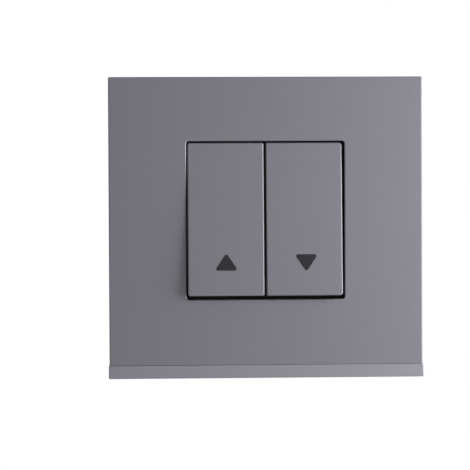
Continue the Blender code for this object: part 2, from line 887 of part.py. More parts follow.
# Housing of the mechanism, with its clips, posts and terminal pockets
def make_mechanism_housing():
    blank = prism(
        "housing",
        [chamfered_rectangle(housing_half_width, housing_half_height, housing_chamfer)],
        FRONT,
        (housing_front, housing_depth),
    )
    inner_x = housing_half_width - housing_wall
    inner_z = housing_half_height - housing_wall
    inner_chamfer = housing_chamfer - (2 - math.sqrt(2)) * housing_wall
    hollow = prism(
        "inside",
        [chamfered_rectangle(inner_x, inner_z, inner_chamfer)],
        FRONT,
        (housing_front - overlap, housing_inner_back),
    )
    base = housing_inner_back + overlap
    rim_back = cover_back + cover_rim_length
    strip_bed = contact_strip_back + seat_gap
    line_bed = line_strip_back + seat_gap
    link_span = about(-button_offset, post_length / 2)
    up, down = side_centre["up"], side_centre["down"]
    half_strip = strip_width / 2
    partition_front = rim_back + seat_gap
    added = [
        box("partition", about(0, partition_wall / 2), (partition_front, base), about(0, inner_z + overlap)),
        box("link bed", (up + half_strip + seat_gap, down + half_strip), (strip_bed, base), link_span),
        box("line post", about(up, half_strip), (line_bed, base), about(0, post_length / 2)),
        box("link post", about(down, half_strip), (strip_bed, base), about(0, post_length / 2)),
    ]
    cuts = [
        box(
            "link notch",
            about(0, partition_wall),
            (housing_front, strip_bed),
            about(-button_offset, link_height / 2 + seat_gap),
        )
    ]
    output_span = about(button_offset, post_length / 2)
    for centre in (up, down):
        added.append(box("output post", about(centre, half_strip), (strip_bed, base), output_span))
        for end in (-1, 1):
            catch = rim_back + tongue_neck - seat_gap
            window_z = (end * (inner_z - overlap), end * (housing_half_height + overlap))
            cuts.append(
                box(
                    "tongue window",
                    about(centre, tongue_width / 2 + seat_gap),
                    (catch, rim_back + tongue_length + seat_gap),
                    window_z[::end],
                )
            )
    for centre, end, bed in ((up, 1, strip_bed), (down, 1, strip_bed), (up, -1, line_bed)):
        inner = terminal_inner - seat_gap
        outer_side = terminal_half_width + seat_gap
        z = (inner - terminal_rib, inner_z + overlap)
        for side in (-1, 1):
            x = about(centre + side * (outer_side + terminal_rib / 2), terminal_rib / 2)
            added.append(box("pocket side", x, (bed, base), z if end > 0 else mirrored(z)))
        z = (inner - terminal_rib, inner)
        x = about(centre, outer_side + overlap)
        added.append(box("pocket end", x, (bed, base), z if end > 0 else mirrored(z)))
        cuts.append(
            box(
                "wire entry",
                about(centre, entry_size / 2),
                (housing_inner_back - overlap, housing_depth + overlap),
                about(end * wire_centre, entry_size / 2),
            )
        )
        z = (inner_z - overlap, housing_half_height + overlap)
        cuts.append(
            cylinder(
                "screw hole",
                terminal_screw_head_radius + seat_gap,
                "Z",
                z if end > 0 else mirrored(z),
                (centre, terminal_screw_y),
            )
        )
    clip_front = support_back + seat_gap
    for side in (-1, 1):
        outline = [
            (side * (housing_half_width - overlap), clip_front),
            (side * (housing_half_width + clip_height), clip_front),
            (side * housing_half_width, clip_front + clip_length),
            (side * (housing_half_width - overlap), clip_front + clip_length),
        ]
        for z in (-clip_offset, clip_offset):
            added.append(prism("clip", [outline], FLAT, about(z, clip_width / 2)))
    return piece(
        "mechanism_housing",
        blank,
        grey_plastic,
        ("DIFFERENCE", [hollow]),
        ("UNION", added),
        ("DIFFERENCE", cuts),
    )


# Keys, rockers and what they carry
def make_key(side_name, empty):
    centre = side_centre[side_name]
    left, right = about(centre, key_width / 2)
    radii = [key_inner_radius, key_inner_radius, key_outer_radius, key_outer_radius]
    if centre > 0:
        radii.reverse()
    blank = prism(
        "key",
        [rounded_rectangle((left, right), about(0, key_height / 2), radii)],
        FRONT,
        (key_front, key_front + key_depth),
    )
    soften(blank, key_edge_round, lambda a, b: max(a.y, b.y) < key_front + overlap, segments=3)
    cavity = prism(
        "key inside",
        [
            rounded_rectangle(
                (left + key_side_wall, right - key_side_wall),
                about(0, key_height / 2 - key_side_wall),
                [key_inner_radius] * 4,
            )
        ],
        FRONT,
        (key_inner_face, key_front + key_depth + overlap),
    )
    catch = rocker_back + seat_gap
    hook_end = catch + hook_tail
    hooks = []
    for way in (-1, 1):
        outer = hook_spread / 2 + hook_thickness / 2
        outline = [
            (centre + way * (outer - overlap), catch),
            (centre + way * (outer + barb_depth), catch),
            (centre + way * outer, hook_end),
            (centre + way * (outer - overlap), hook_end),
        ]
        for z in (-hook_offset, hook_offset):
            x = about(centre + way * hook_spread / 2, hook_thickness / 2)
            hooks.append(box("hook", x, (key_inner_face - overlap, hook_end), about(z, hook_width / 2)))
            hooks.append(prism("hook barb", [outline], FLAT, about(z, hook_width / 2)))
    return piece(
        f"key_{side_name}", blank, paint, ("DIFFERENCE", [cavity]), ("UNION", hooks), empty=empty
    )


def make_rocker(side_name, empty):
    centre = side_centre[side_name]
    blank = prism(
        "rocker",
        [
            rounded_rectangle(
                about(centre, rocker_width / 2), about(0, rocker_height / 2), [rocker_corner] * 4
            )
        ],
        FRONT,
        (rocker_front, rocker_back),
    )
    root = rocker_back - overlap
    added = [
        cylinder("stem", stem_radius, "Y", (root, pivot_y + stem_length), (centre, 0)),
        cylinder(
            "spring spigot",
            return_spigot_radius,
            "Y",
            (root, rocker_back + return_spigot_length),
            (centre, -return_spring_offset),
            small_round_sides,
        ),
    ]
    ear_round = arc((pivot_y, 0), ear_radius, 90, -90, ear_steps)
    ear_outline = [(root, ear_foot), *ear_round, (root, -ear_foot)]
    bore_span = (bore_front, pivot_y + stem_length + overlap)
    cuts = [cylinder("bore", bore_radius, "Y", bore_span, (centre, 0))]
    ear_outer = trunnion_spread / 2
    pin_end = ear_outer + trunnion_length
    for way in (-1, 1):
        ear = (centre + way * (ear_outer - ear_wall), centre + way * ear_outer)[::way]
        added.append(prism("ear", [ear_outline], SIDE, ear))
        pin = (centre + way * (ear_outer - overlap), centre + way * pin_end)[::way]
        added.append(cylinder("trunnion", trunnion_radius, "X", pin, (pivot_y, 0), small_round_sides))
        for z in (-hook_offset, hook_offset):
            cuts.append(
                box(
                    "hook slot",
                    about(centre + way * hook_spread / 2, hook_thickness / 2 + seat_gap),
                    (rocker_front - overlap, rocker_back + overlap),
                    about(z, hook_width / 2 + seat_gap),
                )
            )
    return piece(
        f"rocker_{side_name}", blank, white_plastic, ("UNION", added), ("DIFFERENCE", cuts), empty=empty
    )


def make_plunger(side_name, empty):
    """Heights in the profile run towards the front, so they are depths with their sign turned."""
    centre = side_centre[side_name]
    ball = -(pivot_y + nose_centre_reach)
    shoulder = ball + plunger_body
    nose = [(r, ball + h) for r, h in arc((0, 0), nose_radius, 0, -90, nose_steps)]
    nose[-1] = (0, nose[-1][1])
    profile = [
        (0, shoulder + spigot_length),
        (spigot_radius, shoulder + spigot_length),
        (spigot_radius, shoulder),
        (nose_radius, shoulder),
        *nose,
    ]
    place = Matrix.Translation((centre, 0, 0)) @ Matrix.Rotation(math.pi / 2, 4, "X")
    blank = turned("plunger", profile, place)
    return piece(f"plunger_{side_name}", blank, black_plastic, empty=empty)


def make_springs(side_name, empty):
    centre = side_centre[side_name]
    shoulder = pivot_y + nose_centre_reach - plunger_body
    radius = bore_radius - seat_gap - spring_wire
    spring(
        f"plunger_spring_{side_name}",
        spring_steel,
        (centre, 0),
        radius,
        (bore_front + seat_gap, shoulder - seat_gap),
        plunger_spring_turns,
        empty,
    )
    reach = return_spring_offset + return_spring_radius + spring_wire
    spring(
        f"return_spring_{side_name}",
        spring_steel,
        (centre, -return_spring_offset),
        return_spring_radius,
        (
            swung_y(rocker_back, -reach + 2 * return_spring_radius, -rest_tilt) + seat_gap,
            cover_front + pocket_depth - seat_gap,
        ),
        return_spring_turns,
    )


def make_contact_lever(side_name, empty):
    centre = side_centre[side_name]
    front = fulcrum_y - lever_seat
    half = lever_width / 2
    blank = box("lever", about(centre, half), (front, lever_back), about(0, lever_half_length))
    flange_y = (front - lever_flange_height, front + overlap)
    added = []
    for way in (-1, 1):
        x = (centre + way * (half - lever_flange), centre + way * half)[::way]
        added.append(box("flange", x, flange_y, about(0, lever_flange_half_length)))
        added.append(
            cylinder(
                "button",
                button_radius,
                "Y",
                (lever_back - overlap, lever_back + button_height),
                (centre, way * button_offset),
                small_round_sides,
            )
        )
    groove_half = lever_groove_spread * (lever_groove + overlap)
    groove = [
        (lever_back - lever_groove, 0),
        (lever_back + overlap, -groove_half),
        (lever_back + overlap, groove_half),
    ]
    cut = prism("groove", [groove], SIDE, about(centre, half + overlap))
    return piece(
        f"contact_lever_{side_name}",
        blank,
        copper_strip,
        ("UNION", added),
        ("DIFFERENCE", [cut]),
        empty=empty,
    )


# Fixed contacts
def fixed_button(centre, z):
    return cylinder(
        "fixed button",
        button_radius,
        "Y",
        (contact_face, contact_strip_front + overlap),
        (centre, z),
        small_round_sides,
    )


def make_fixed_contacts():
    half = strip_width / 2
    up, down = side_centre["up"], side_centre["down"]
    strip_middle = contact_strip_front + strip_sheet / 2
    line_middle = line_strip_front + strip_sheet / 2
    tail_end = terminal_back - seat_gap
    ridge = lever_back  # it reaches the groove in the back of the lever
    line_path = [(ridge, 0), (line_middle, 0), (line_middle, -tail_centre), (tail_end, -tail_centre)]
    line = prism("line", [strip_outline(line_path, strip_sheet, pointed=True)], SIDE, about(up, half))
    piece("line_contact", line, copper_strip)
    link = box(
        "link",
        (up - half, down + half),
        (contact_strip_front, contact_strip_back),
        about(-button_offset, link_height / 2),
    )
    arm_path = [(ridge, 0), (strip_middle, 0), (strip_middle, -button_offset)]
    arm = prism("arm", [strip_outline(arm_path, strip_sheet, pointed=True)], SIDE, about(down, half))
    buttons = [fixed_button(centre, -button_offset) for centre in (up, down)]
    piece("interlock_link", link, copper_strip, ("UNION", [arm, *buttons]))
    start = button_offset - link_height / 2
    for side_name, centre in side_centre.items():
        path = [(strip_middle, start), (strip_middle, tail_centre), (tail_end, tail_centre)]
        strip = prism("output", [strip_outline(path, strip_sheet)], SIDE, about(centre, half))
        button = fixed_button(centre, button_offset)
        piece(f"output_contact_{side_name}", strip, copper_strip, ("UNION", [button]))


# Terminals
def make_terminal(label, centre, end):
    """A screw terminal. Its end is 1 at the top of the switch and -1 at the bottom."""
    z = (terminal_inner, terminal_outer)
    blank = box(
        "block",
        about(centre, terminal_half_width),
        (terminal_front, terminal_back),
        z if end > 0 else mirrored(z),
    )
    space = box(
        "wire space",
        about(centre, wire_space_width / 2),
        (terminal_front - overlap, terminal_back + overlap),
        about(end * terminal_offset, wire_space_height / 2),
    )
    hole_span = (space_outer - overlap, terminal_outer + overlap)
    hole = cylinder(
        "thread hole",
        terminal_screw_radius + seat_gap,
        "Z",
        hole_span if end > 0 else mirrored(hole_span),
        (centre, terminal_screw_y),
        small_round_sides,
    )
    piece(f"terminal_block_{label}", blank, brass, ("DIFFERENCE", [space, hole]))
    top = housing_half_height - overlap / 2
    seat = top - terminal_screw_head_height
    tip = terminal_outer - terminal_screw_reach
    profile = [
        (0, top),
        (terminal_screw_head_radius - terminal_screw_edge, top),
        (terminal_screw_head_radius, top - terminal_screw_edge),
        (terminal_screw_head_radius, seat),
        (terminal_screw_radius, seat),
        (terminal_screw_radius, tip + terminal_screw_edge),
        (terminal_screw_radius - terminal_screw_edge, tip),
        (0, tip),
    ]
    turn = Matrix.Identity(4) if end > 0 else Matrix.Rotation(math.pi, 4, "X")
    screw = turned("screw", profile, Matrix.Translation((centre, terminal_screw_y, 0)) @ turn)
    slot_span = (top - screw_slot_depth, top + overlap)
    slot = box(
        "slot",
        about(centre, terminal_screw_head_radius + overlap),
        about(terminal_screw_y, screw_slot_gap / 2),
        slot_span if end > 0 else mirrored(slot_span),
    )
    piece(f"terminal_screw_{label}", screw, zinc_steel, ("DIFFERENCE", [slot]))


# The whole switch
make_cover_plate()
make_base_frame()
make_mounting_support()
make_box_screw("box_screw_left", -1)
make_box_screw("box_screw_right", 1)
make_mechanism_cover()
make_mechanism_housing()
for side_name in side_centre:
    key_axis = joint_empty(f"key_{side_name}_axis", pivot_y, -rest_tilt)
    make_key(side_name, key_axis)
    make_rocker(side_name, key_axis)
    make_plunger(side_name, key_axis)
    make_springs(side_name, key_axis)
    make_contact_lever(side_name, joint_empty(f"contact_lever_{side_name}_axis", fulcrum_y, lever_tilt))
make_fixed_contacts()
make_terminal("up", side_centre["up"], 1)
make_terminal("down", side_centre["down"], 1)
make_terminal("line", side_centre["up"], -1)
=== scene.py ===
import math

import bmesh
import bpy
import numpy as np
from mathutils import Matrix, Vector


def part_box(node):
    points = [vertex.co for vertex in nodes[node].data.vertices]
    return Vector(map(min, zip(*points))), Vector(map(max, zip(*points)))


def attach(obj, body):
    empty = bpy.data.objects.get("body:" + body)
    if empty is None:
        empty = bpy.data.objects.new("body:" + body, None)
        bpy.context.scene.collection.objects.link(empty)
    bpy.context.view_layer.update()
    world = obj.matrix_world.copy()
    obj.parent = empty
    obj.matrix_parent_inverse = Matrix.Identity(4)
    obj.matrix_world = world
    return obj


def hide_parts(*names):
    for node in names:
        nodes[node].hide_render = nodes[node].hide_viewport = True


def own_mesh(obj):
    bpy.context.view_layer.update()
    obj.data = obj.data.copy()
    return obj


# A roller shutter switch for two circuits. X is to the user's right, Y into the wall, Z up, in metres.
# The parts that show are surfaces of their own. The mechanism behind them keeps the solids of the frame, as
# they are or as copies with rounded edges.

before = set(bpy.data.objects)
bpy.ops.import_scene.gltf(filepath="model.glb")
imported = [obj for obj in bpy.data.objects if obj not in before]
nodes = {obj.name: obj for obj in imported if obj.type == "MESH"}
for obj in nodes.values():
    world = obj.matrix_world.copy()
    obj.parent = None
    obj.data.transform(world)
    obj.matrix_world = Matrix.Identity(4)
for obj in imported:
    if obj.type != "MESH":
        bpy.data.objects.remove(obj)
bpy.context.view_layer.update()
mm = 0.001
print("frame loaded with", len(nodes), "nodes")


# Shading. One socket of a material, so that its maths can be written as an expression.
class Shade:
    def __init__(self, tree, socket=None):
        self.tree = tree
        self.socket = socket

    # any node: its settings, then a value or a link for each socket, then which output is wanted
    def node(self, kind, settings=None, inputs=None, out=0):
        made = self.tree.nodes.new("ShaderNode" + kind)
        for key, value in (settings or {}).items():
            if key == "stops":
                for stop, (place, grey) in zip(made.color_ramp.elements, value):
                    stop.position = place
                    stop.color = (grey, grey, grey, 1.0)
            else:
                setattr(made, key, value)
        for key, value in (inputs or {}).items():
            if isinstance(value, Shade):
                value.feed(made.inputs[key])
            else:
                made.inputs[key].default_value = value
        return Shade(self.tree, made.outputs[out])

    def feed(self, target):
        self.tree.links.new(self.socket, target)

    def maths(self, operation, *values):
        return self.node("Math", {"operation": operation}, dict(enumerate(values)))

    def __add__(self, other):
        return self.maths("ADD", self, other)

    def __sub__(self, other):
        return self.maths("SUBTRACT", self, other)

    def __rsub__(self, other):
        return self.maths("SUBTRACT", other, self)

    def __mul__(self, other):
        return self.maths("MULTIPLY", self, other)

    __radd__ = __add__
    __rmul__ = __mul__

    # Object coordinates, stretched if wanted
    def coordinates(self, stretch=None):
        plain = self.node("TexCoord", out="Object")
        return self.node("Mapping", {}, {"Vector": plain, "Scale": stretch}) if stretch else plain

    def noise(self, place, size, detail=2.0, rough=0.5):
        return self.node(
            "TexNoise", {}, {"Vector": place, "Scale": 1 / size, "Detail": detail, "Roughness": rough}
        )

    # one random value for each cell of about that size: the Math node makes the cell's colour a grey
    def cells(self, place, size):
        return self.node("TexVoronoi", {}, {"Vector": place, "Scale": 1 / size}, out="Color") * 1.0

    # two colours mixed by a share; a plain colour is given as three numbers
    def blend(self, share, *colours):
        first, second = ((*c, 1) if isinstance(c, tuple) else c for c in colours)
        return self.node("Mix", {"data_type": "RGBA"}, {0: share, 6: first, 7: second}, out=2)

    # 1 where the value is less than a limit away from 0
    def within(self, limit):
        return self.maths("LESS_THAN", self.maths("ABSOLUTE", self), limit)

    # one level up to the first value and another from the second on, with a smooth change between them
    def fade(self, low, high, before=0.0, after=1.0):
        return self.node(
            "MapRange", {"interpolation_type": "SMOOTHSTEP"}, {0: self, 1: low, 2: high, 3: before, 4: after}
        )

    # 0 up to the first value and 1 from the second on, with a straight change between them
    def ramp(self, low, high):
        return self.node("ValToRGB", {"stops": ((low, 0.0), (high, 1.0))}, {0: self})

    def bump(self, height, strength, distance):
        return self.node("Bump", {}, {"Height": height, "Strength": strength, "Distance": distance})


# A Principled material: what is the same all over is set on its sockets, the rest is linked
def newMaterial(name, settings):
    material = bpy.data.materials.new(name)
    material.use_nodes = True
    shader = material.node_tree.nodes["Principled BSDF"]
    for key, value in settings.items():
        shader.inputs[key].default_value = value
    return material, Shade(material.node_tree), shader


def linkTo(shader, **wires):
    names = {"colour": "Base Color", "rough": "Roughness", "metal": "Metallic", "normal": "Normal"}
    for key, wire in wires.items():
        wire.feed(shader.inputs[names[key]])


# A colour times one factor, or times one for each of its channels
def shift(colour, factor):
    factors = factor if isinstance(factor, tuple) else (factor,) * 3
    return tuple(min(1.0, c * f) for c, f in zip(colour, factors))


# Titanium-grey metallic paint: fine flakes of uneven brightness under a satin, slightly rippled coat, over
# dark plastic that stays bare where no paint is sprayed. On the walls of the plate's window that dark colour
# is painted shade.
paint = {
    "colour": (0.184, 0.181, 0.211),
    # the lip's lighter tone is painted light, standing in for the light from above that its upturned face
    # catches
    "lipLitTone": 1.20,  # the lip is a little lighter than the rest
    "bareAndShade": (0.014, 0.0135, 0.016),
    "metal": 0.12,
    "gloss": 0.43,
    "flake": 0.09 * mm,
    "flakeContrast": 0.10,
    "flakeRough": 0.06,
    "cloud": 14 * mm,
    "cloudEdges": (0.35, 0.65),
    "cloudRough": 0.05,
    "warmth": 0.02,
    "warmShare": 0.5,
    "ripple": 0.55 * mm,
    "rippleShare": 0.7,
    "bump": 0.10,
    "bumpDepth": 0.012 * mm,
}


# The mask given tells where the paint ends and the dark colour shows, which on the walls of the plate's
# window
# is painted shade: it takes the three coordinates and gives a share from 0 to 1
def paintFinish(name, bareAndShadeAt, tone=1.0):
    p = paint
    material, shade, shader = newMaterial(name, {})
    place = shade.coordinates()
    bareAndShade = bareAndShadeAt(*(shade.node("SeparateXYZ", {}, {0: place}, out=axis) for axis in "XYZ"))
    flake = shade.cells(place, p["flake"])
    cloud = shade.noise(place, p["cloud"], detail=3.0)
    ripple = shade.noise(place, p["ripple"])
    dark = shift(p["colour"], tone - p["flakeContrast"])
    light = shift(p["colour"], tone + p["flakeContrast"])
    warm = shift(p["colour"], (tone * (1 + p["warmth"]), tone, tone * (1 - p["warmth"])))
    tinted = shade.blend(cloud.ramp(*p["cloudEdges"]) * p["warmShare"], shade.blend(flake, dark, light), warm)
    rough = (flake - 0.5) * p["flakeRough"] + (cloud - 0.5) * p["cloudRough"] + p["gloss"]
    height = ripple * p["rippleShare"] + flake * (1 - p["rippleShare"])
    linkTo(
        shader, colour=shade.blend(bareAndShade, tinted, p["bareAndShade"]), rough=rough, metal=(1 - bareAndShade) * p["metal"],
        normal=shade.bump(height, p["bump"], p["bumpDepth"]),
    )
    return material


# The plate is painted outside and over the edge of the window, the frame on its lip, and the keys on their
# faces and sides. The paint fades out between two depths or heights.
sprayed = {
    "plateInside": (44.4 * mm, 40.6 * mm),
    "plateDepths": (-8.75 * mm, -8.35 * mm),
    "lipHeights": (-41.28 * mm, -41.20 * mm),
    "keyDepths": (-7.5 * mm, -7.2 * mm),
    "keyTilt": 3.5,  # the keys stand tipped by this angle at rest
}


# On the plate the dark colour is bare plastic at the back, and painted shade on the walls of the window where
# it darkens the gaps round the keys
def plateBareAndShade(x, y, z):
    halfX, halfZ = sprayed["plateInside"]
    return x.within(halfX) * z.within(halfZ) * y.fade(*sprayed["plateDepths"])


def frameBare(x, y, z):
    return z.fade(*sprayed["lipHeights"])


def keyBare(x, y, z):
    turn = math.radians(sprayed["keyTilt"])
    depth = y * math.cos(turn) - z * math.sin(turn)
    return depth.fade(*sprayed["keyDepths"])


# Moulded plastic: a fine spark-eroded grain, with flow marks that hardly show
plastic = {
    "grainRough": 0.16,
    "flowSize": 6 * mm,
    "flowStretch": (1, 1, 0.35),
    "flowEdges": (0.3, 0.7),
    "flowRough": 0.08,
    "bump": 0.35,
}


def plasticFinish(name, colour, gloss, grain, depth, flow=0.06, shine=0.45):
    p = plastic
    material, shade, shader = newMaterial(name, {"Specular IOR Level": shine})
    grainy = shade.noise(shade.coordinates(), grain, detail=3.0, rough=0.6)
    flowing = shade.noise(shade.coordinates(p["flowStretch"]), p["flowSize"])
    tone = shade.blend(flowing.ramp(*p["flowEdges"]), shift(colour, 1 - flow), shift(colour, 1 + flow))
    rough = (grainy - 0.5) * p["grainRough"] + (flowing - 0.5) * p["flowRough"] + gloss
    linkTo(shader, colour=tone, rough=rough, normal=shade.bump(grainy, p["bump"], depth))
    return material


# Rolled and plated sheet: long fine streaks, and soft patches where the plating took differently
sheet = {
    "streakStretch": (0.04, 1, 1),
    "streakTones": (0.90, 1.08),
    "streakRough": 0.14,
    "streakShare": 0.6,
    "patchSize": 4 * mm,
    "patchEdges": (0.42, 0.72),
    "patchShare": 0.6,
    "patchRough": 0.18,
    "speckSize": 0.25 * mm,
    "speckRough": 0.06,
    "bump": 0.25,
    "bumpDepth": 0.010 * mm,
}


def sheetFinish(name, colour, gloss, streakSize, tint):
    s = sheet
    material, shade, shader = newMaterial(name, {"Metallic": 1.0})
    place = shade.coordinates()
    streak = shade.noise(shade.coordinates(s["streakStretch"]), streakSize, detail=3.0, rough=0.65)
    patch = shade.noise(place, s["patchSize"], detail=3.0, rough=0.55)
    speck = shade.noise(place, s["speckSize"])
    streaked = shade.blend(streak, *(shift(colour, tone) for tone in s["streakTones"]))
    patched = shade.blend(patch.ramp(*s["patchEdges"]) * s["patchShare"], streaked, shift(colour, tint))
    rough = (streak - 0.5) * s["streakRough"] + (patch - 0.5) * s["patchRough"]
    rough = rough + (speck - 0.5) * s["speckRough"] + gloss
    height = streak * s["streakShare"] + speck * (1 - s["streakShare"])
    linkTo(shader, colour=patched, rough=rough, normal=shade.bump(height, s["bump"], s["bumpDepth"]))
    return material


# Turned or drawn metal: fine tool marks all over, and a little stain in patches
toolMarks = {
    "size": 0.12 * mm,
    "rough": 0.12,
    "stainSize": 1.6 * mm,
    "stainEdges": (0.45, 0.70),
    "stainShare": 0.5,
    "stainRough": 0.20,
    "bump": 0.2,
    "bumpDepth": 0.008 * mm,
}


def turnedFinish(name, colour, gloss, tint):
    t = toolMarks
    material, shade, shader = newMaterial(name, {"Metallic": 1.0})
    place = shade.coordinates()
    marks = shade.noise(place, t["size"], rough=0.6)
    stain = shade.noise(place, t["stainSize"], detail=4.0, rough=0.6)
    toned = shade.blend(stain.ramp(*t["stainEdges"]) * t["stainShare"], colour, shift(colour, tint))
    rough = (marks - 0.5) * t["rough"] + (stain - 0.5) * t["stainRough"] + gloss
    linkTo(shader, colour=toned, rough=rough, normal=shade.bump(marks, t["bump"], t["bumpDepth"]))
    return material


# Pad-printed ink: matt, with slightly uneven cover
ink = {
    "thick": (0.017, 0.017, 0.019),
    "thin": (0.023, 0.023, 0.026),
    "cover": 0.5 * mm,
    "coverRough": 0.1,
    "gloss": 0.55,
    "shine": 0.20,
    "bump": 0.2,
    "bumpDepth": 0.01 * mm,
}


def inkFinish(name):
    material, shade, shader = newMaterial(name, {"Specular IOR Level": ink["shine"]})
    cover = shade.noise(shade.coordinates(), ink["cover"], detail=3.0)
    linkTo(
        shader, colour=shade.blend(cover, ink["thick"], ink["thin"]),
        rough=(cover - 0.5) * ink["coverRough"] + ink["gloss"],
        normal=shade.bump(cover, ink["bump"], ink["bumpDepth"]),
    )
    return material


# Plastic: colour, gloss, size and depth of the grain, then flow marks and shine where they aren't the usual.
# Metal: colour, gloss, for sheet the size of its streaks, and the tint of its patches or stains.
finishes = {
    "platePaint": paintFinish("platePaint", plateBareAndShade),
    # the frame takes the lighter lip tone: painted light on the lip
    "framePaint": paintFinish("framePaint", frameBare, paint["lipLitTone"]),
    "keyPaint": paintFinish("keyPaint", keyBare),
    "ink": inkFinish("signInk"),
    "black": plasticFinish("blackPlastic", (0.016, 0.016, 0.018), 0.46, 0.16 * mm, 0.02 * mm, 0.10, 0.25),
    "grey": plasticFinish("greyPlastic", (0.060, 0.060, 0.064), 0.52, 0.18 * mm, 0.02 * mm),
    "white": plasticFinish("whiteAcetal", (0.74, 0.73, 0.69), 0.36, 0.30 * mm, 0.008 * mm, 0.02),
    "zincSheet": sheetFinish("zincSheet", (0.60, 0.60, 0.585), 0.34, 0.10 * mm, (0.90, 0.96, 1.06)),
    "zincScrew": turnedFinish("zincScrew", (0.62, 0.60, 0.52), 0.30, (0.92, 0.86, 0.70)),
    "spring": turnedFinish("springWire", (0.52, 0.52, 0.53), 0.26, (0.86, 0.86, 0.88)),
    "strip": sheetFinish("contactStrip", (0.72, 0.47, 0.33), 0.30, 0.08 * mm, (0.86, 0.78, 0.72)),
    "brass": turnedFinish("terminalBrass", (0.74, 0.54, 0.24), 0.30, (0.84, 0.74, 0.56)),
}
print("finishes made")


# Shapes. Nearly every surface is a grid of points; a part is its points and its faces. Points closer than
# merge become one, in a copy of a solid those closer than mergeSolid, and its faces that differ by less
# than flatTo degrees. An edge is sharp from sharpFrom degrees on, and takes a bevel from bevelFrom on.
smoothing = {
    "merge": 0.0005 * mm,
    "mergeSolid": 0.002 * mm,
    "sharpFrom": 38,
    "bevelFrom": 32,
    "flatTo": 1.0,
}


# Half a width to either side of a place
def spanAt(place, width):
    return place - width / 2, place + width / 2


# A grid of points whose rows are closed rings; the last row may be joined to the first
def gridPart(points, joinRows=False):
    rows, columns = points.shape[:2]
    first = np.arange(rows if joinRows else rows - 1)[:, None]
    across = np.arange(columns)[None, :]
    nextRow = (first + 1) % rows
    nextColumn = (across + 1) % columns
    faces = np.stack(
        np.broadcast_arrays(
            first * columns + across, first * columns + nextColumn,
            nextRow * columns + nextColumn, nextRow * columns + across,
        ), -1,
    )
    return points.reshape(-1, 3), faces.reshape(-1, 4)


# Rounded rectangles, one for each row of (half width, half height, corner radius, depth): each corner is
# its centre plus the radius times a quarter turn
def ringLoft(rows, centre=(0, 0), share=(1, 1, 1, 1), steps=6):
    rows = np.asarray(rows, float)
    halfX, halfZ, radius, depth = (rows[:, i, None, None] for i in range(4))
    radius = radius * np.asarray(share, float)[None, :, None]
    turn = np.radians(np.arange(4)[:, None] * 90 + np.linspace(0, 90, steps + 1))[None]
    wayX = np.array([1, -1, -1, 1])[None, :, None]
    wayZ = np.array([1, 1, -1, -1])[None, :, None]
    x = centre[0] + wayX * (halfX - radius) + radius * np.cos(turn)
    z = centre[1] + wayZ * (halfZ - radius) + radius * np.sin(turn)
    y = np.broadcast_to(depth, x.shape)
    return np.stack([x, y, z], -1).reshape(len(rows), -1, 3)


# A quarter round of a profile, as inset and drop: radius times 1 - cos and 1 - sin
def quarter(radius, steps):
    turn = np.linspace(0, math.pi / 2, steps + 1)
    return radius * (1 - np.cos(turn)), radius * (1 - np.sin(turn))


# A block with rounded edges, from three spans: rings from the middle of its front to that of its back
def block(x, y, z, edge=0.12 * mm):
    half = ((x[1] - x[0]) / 2, (z[1] - z[0]) / 2)
    inset, drop = quarter(edge, 3)
    low = min(half)
    sizes = [(half[0] - i, half[1] - i, max(edge - i, 0)) for i in inset]
    front = [(*size, y[0] + d) for size, d in zip(sizes, drop)]
    back = [(*size, y[1] - d) for size, d in zip(sizes, drop)]
    pole = (half[0] - low, half[1] - low, 0)
    rows = [(*pole, y[0]), *front[::-1], *back, (*pole, y[1])]
    return gridPart(ringLoft(rows, ((x[0] + x[1]) / 2, (z[0] + z[1]) / 2), steps=2))


# Moves the corners of a closed outline inwards by a distance, each along the bisector of its two sides;
# the bisector of a very sharp corner is cut short
def insetOutline(outline, distance, sharpest=0.4):
    toNext = np.roll(outline, -1, axis=0) - outline
    area = (outline[:, 0] * np.roll(outline[:, 1], -1) - outline[:, 1] * np.roll(outline[:, 0], -1)).sum()
    toNext = toNext / np.linalg.norm(toNext, axis=1, keepdims=True) * (1 if area > 0 else -1)
    inward = np.stack([-toNext[:, 1], toNext[:, 0]], -1)
    before = np.roll(inward, 1, axis=0)
    bisector = inward + before
    bisector /= np.maximum((bisector * inward).sum(1, keepdims=True), sharpest)
    return outline + distance * bisector


# An outline carried straight along an axis, its end edges rounded by insets of a quarter round, its ends
# closed at the middle of the outline
def bar(outline, axis, span, edge=0.0):
    outline = np.asarray(outline, float)
    middle = np.broadcast_to(outline.mean(axis=0), outline.shape)
    inset, drop = quarter(edge, 3) if edge else (np.zeros(1), np.zeros(1))
    rings = [insetOutline(outline, i) for i in inset]
    flat = np.stack([middle, *rings[::-1], *rings, middle])
    along = np.concatenate([[span[0]], span[0] + drop[::-1], span[1] - drop, [span[1]]])
    points = np.empty((len(along), len(outline), 3))
    points[..., axis] = along[:, None]
    points[..., [i for i in range(3) if i != axis]] = flat
    return gridPart(points)


# Points of an arc between two angles in degrees: the centre plus radius times (cosine, sine)
def arcPoints(centre, radius, start, end, steps):
    turn = np.radians(np.linspace(start, end, steps + 1))
    return np.stack([centre[0] + radius * np.cos(turn), centre[1] + radius * np.sin(turn)], -1)


# A profile of (radius, depth) turned about an axis along Y: the centre plus radius times (cosine, sine)
def turned(profile, centre, sides=40):
    profile = np.asarray(profile, float)
    turn = np.linspace(0, 2 * math.pi, sides, endpoint=False)
    x = centre[0] + profile[:, :1] * np.cos(turn)
    z = centre[1] + profile[:, :1] * np.sin(turn)
    return gridPart(np.stack([x, np.broadcast_to(profile[:, 1:], x.shape), z], -1))


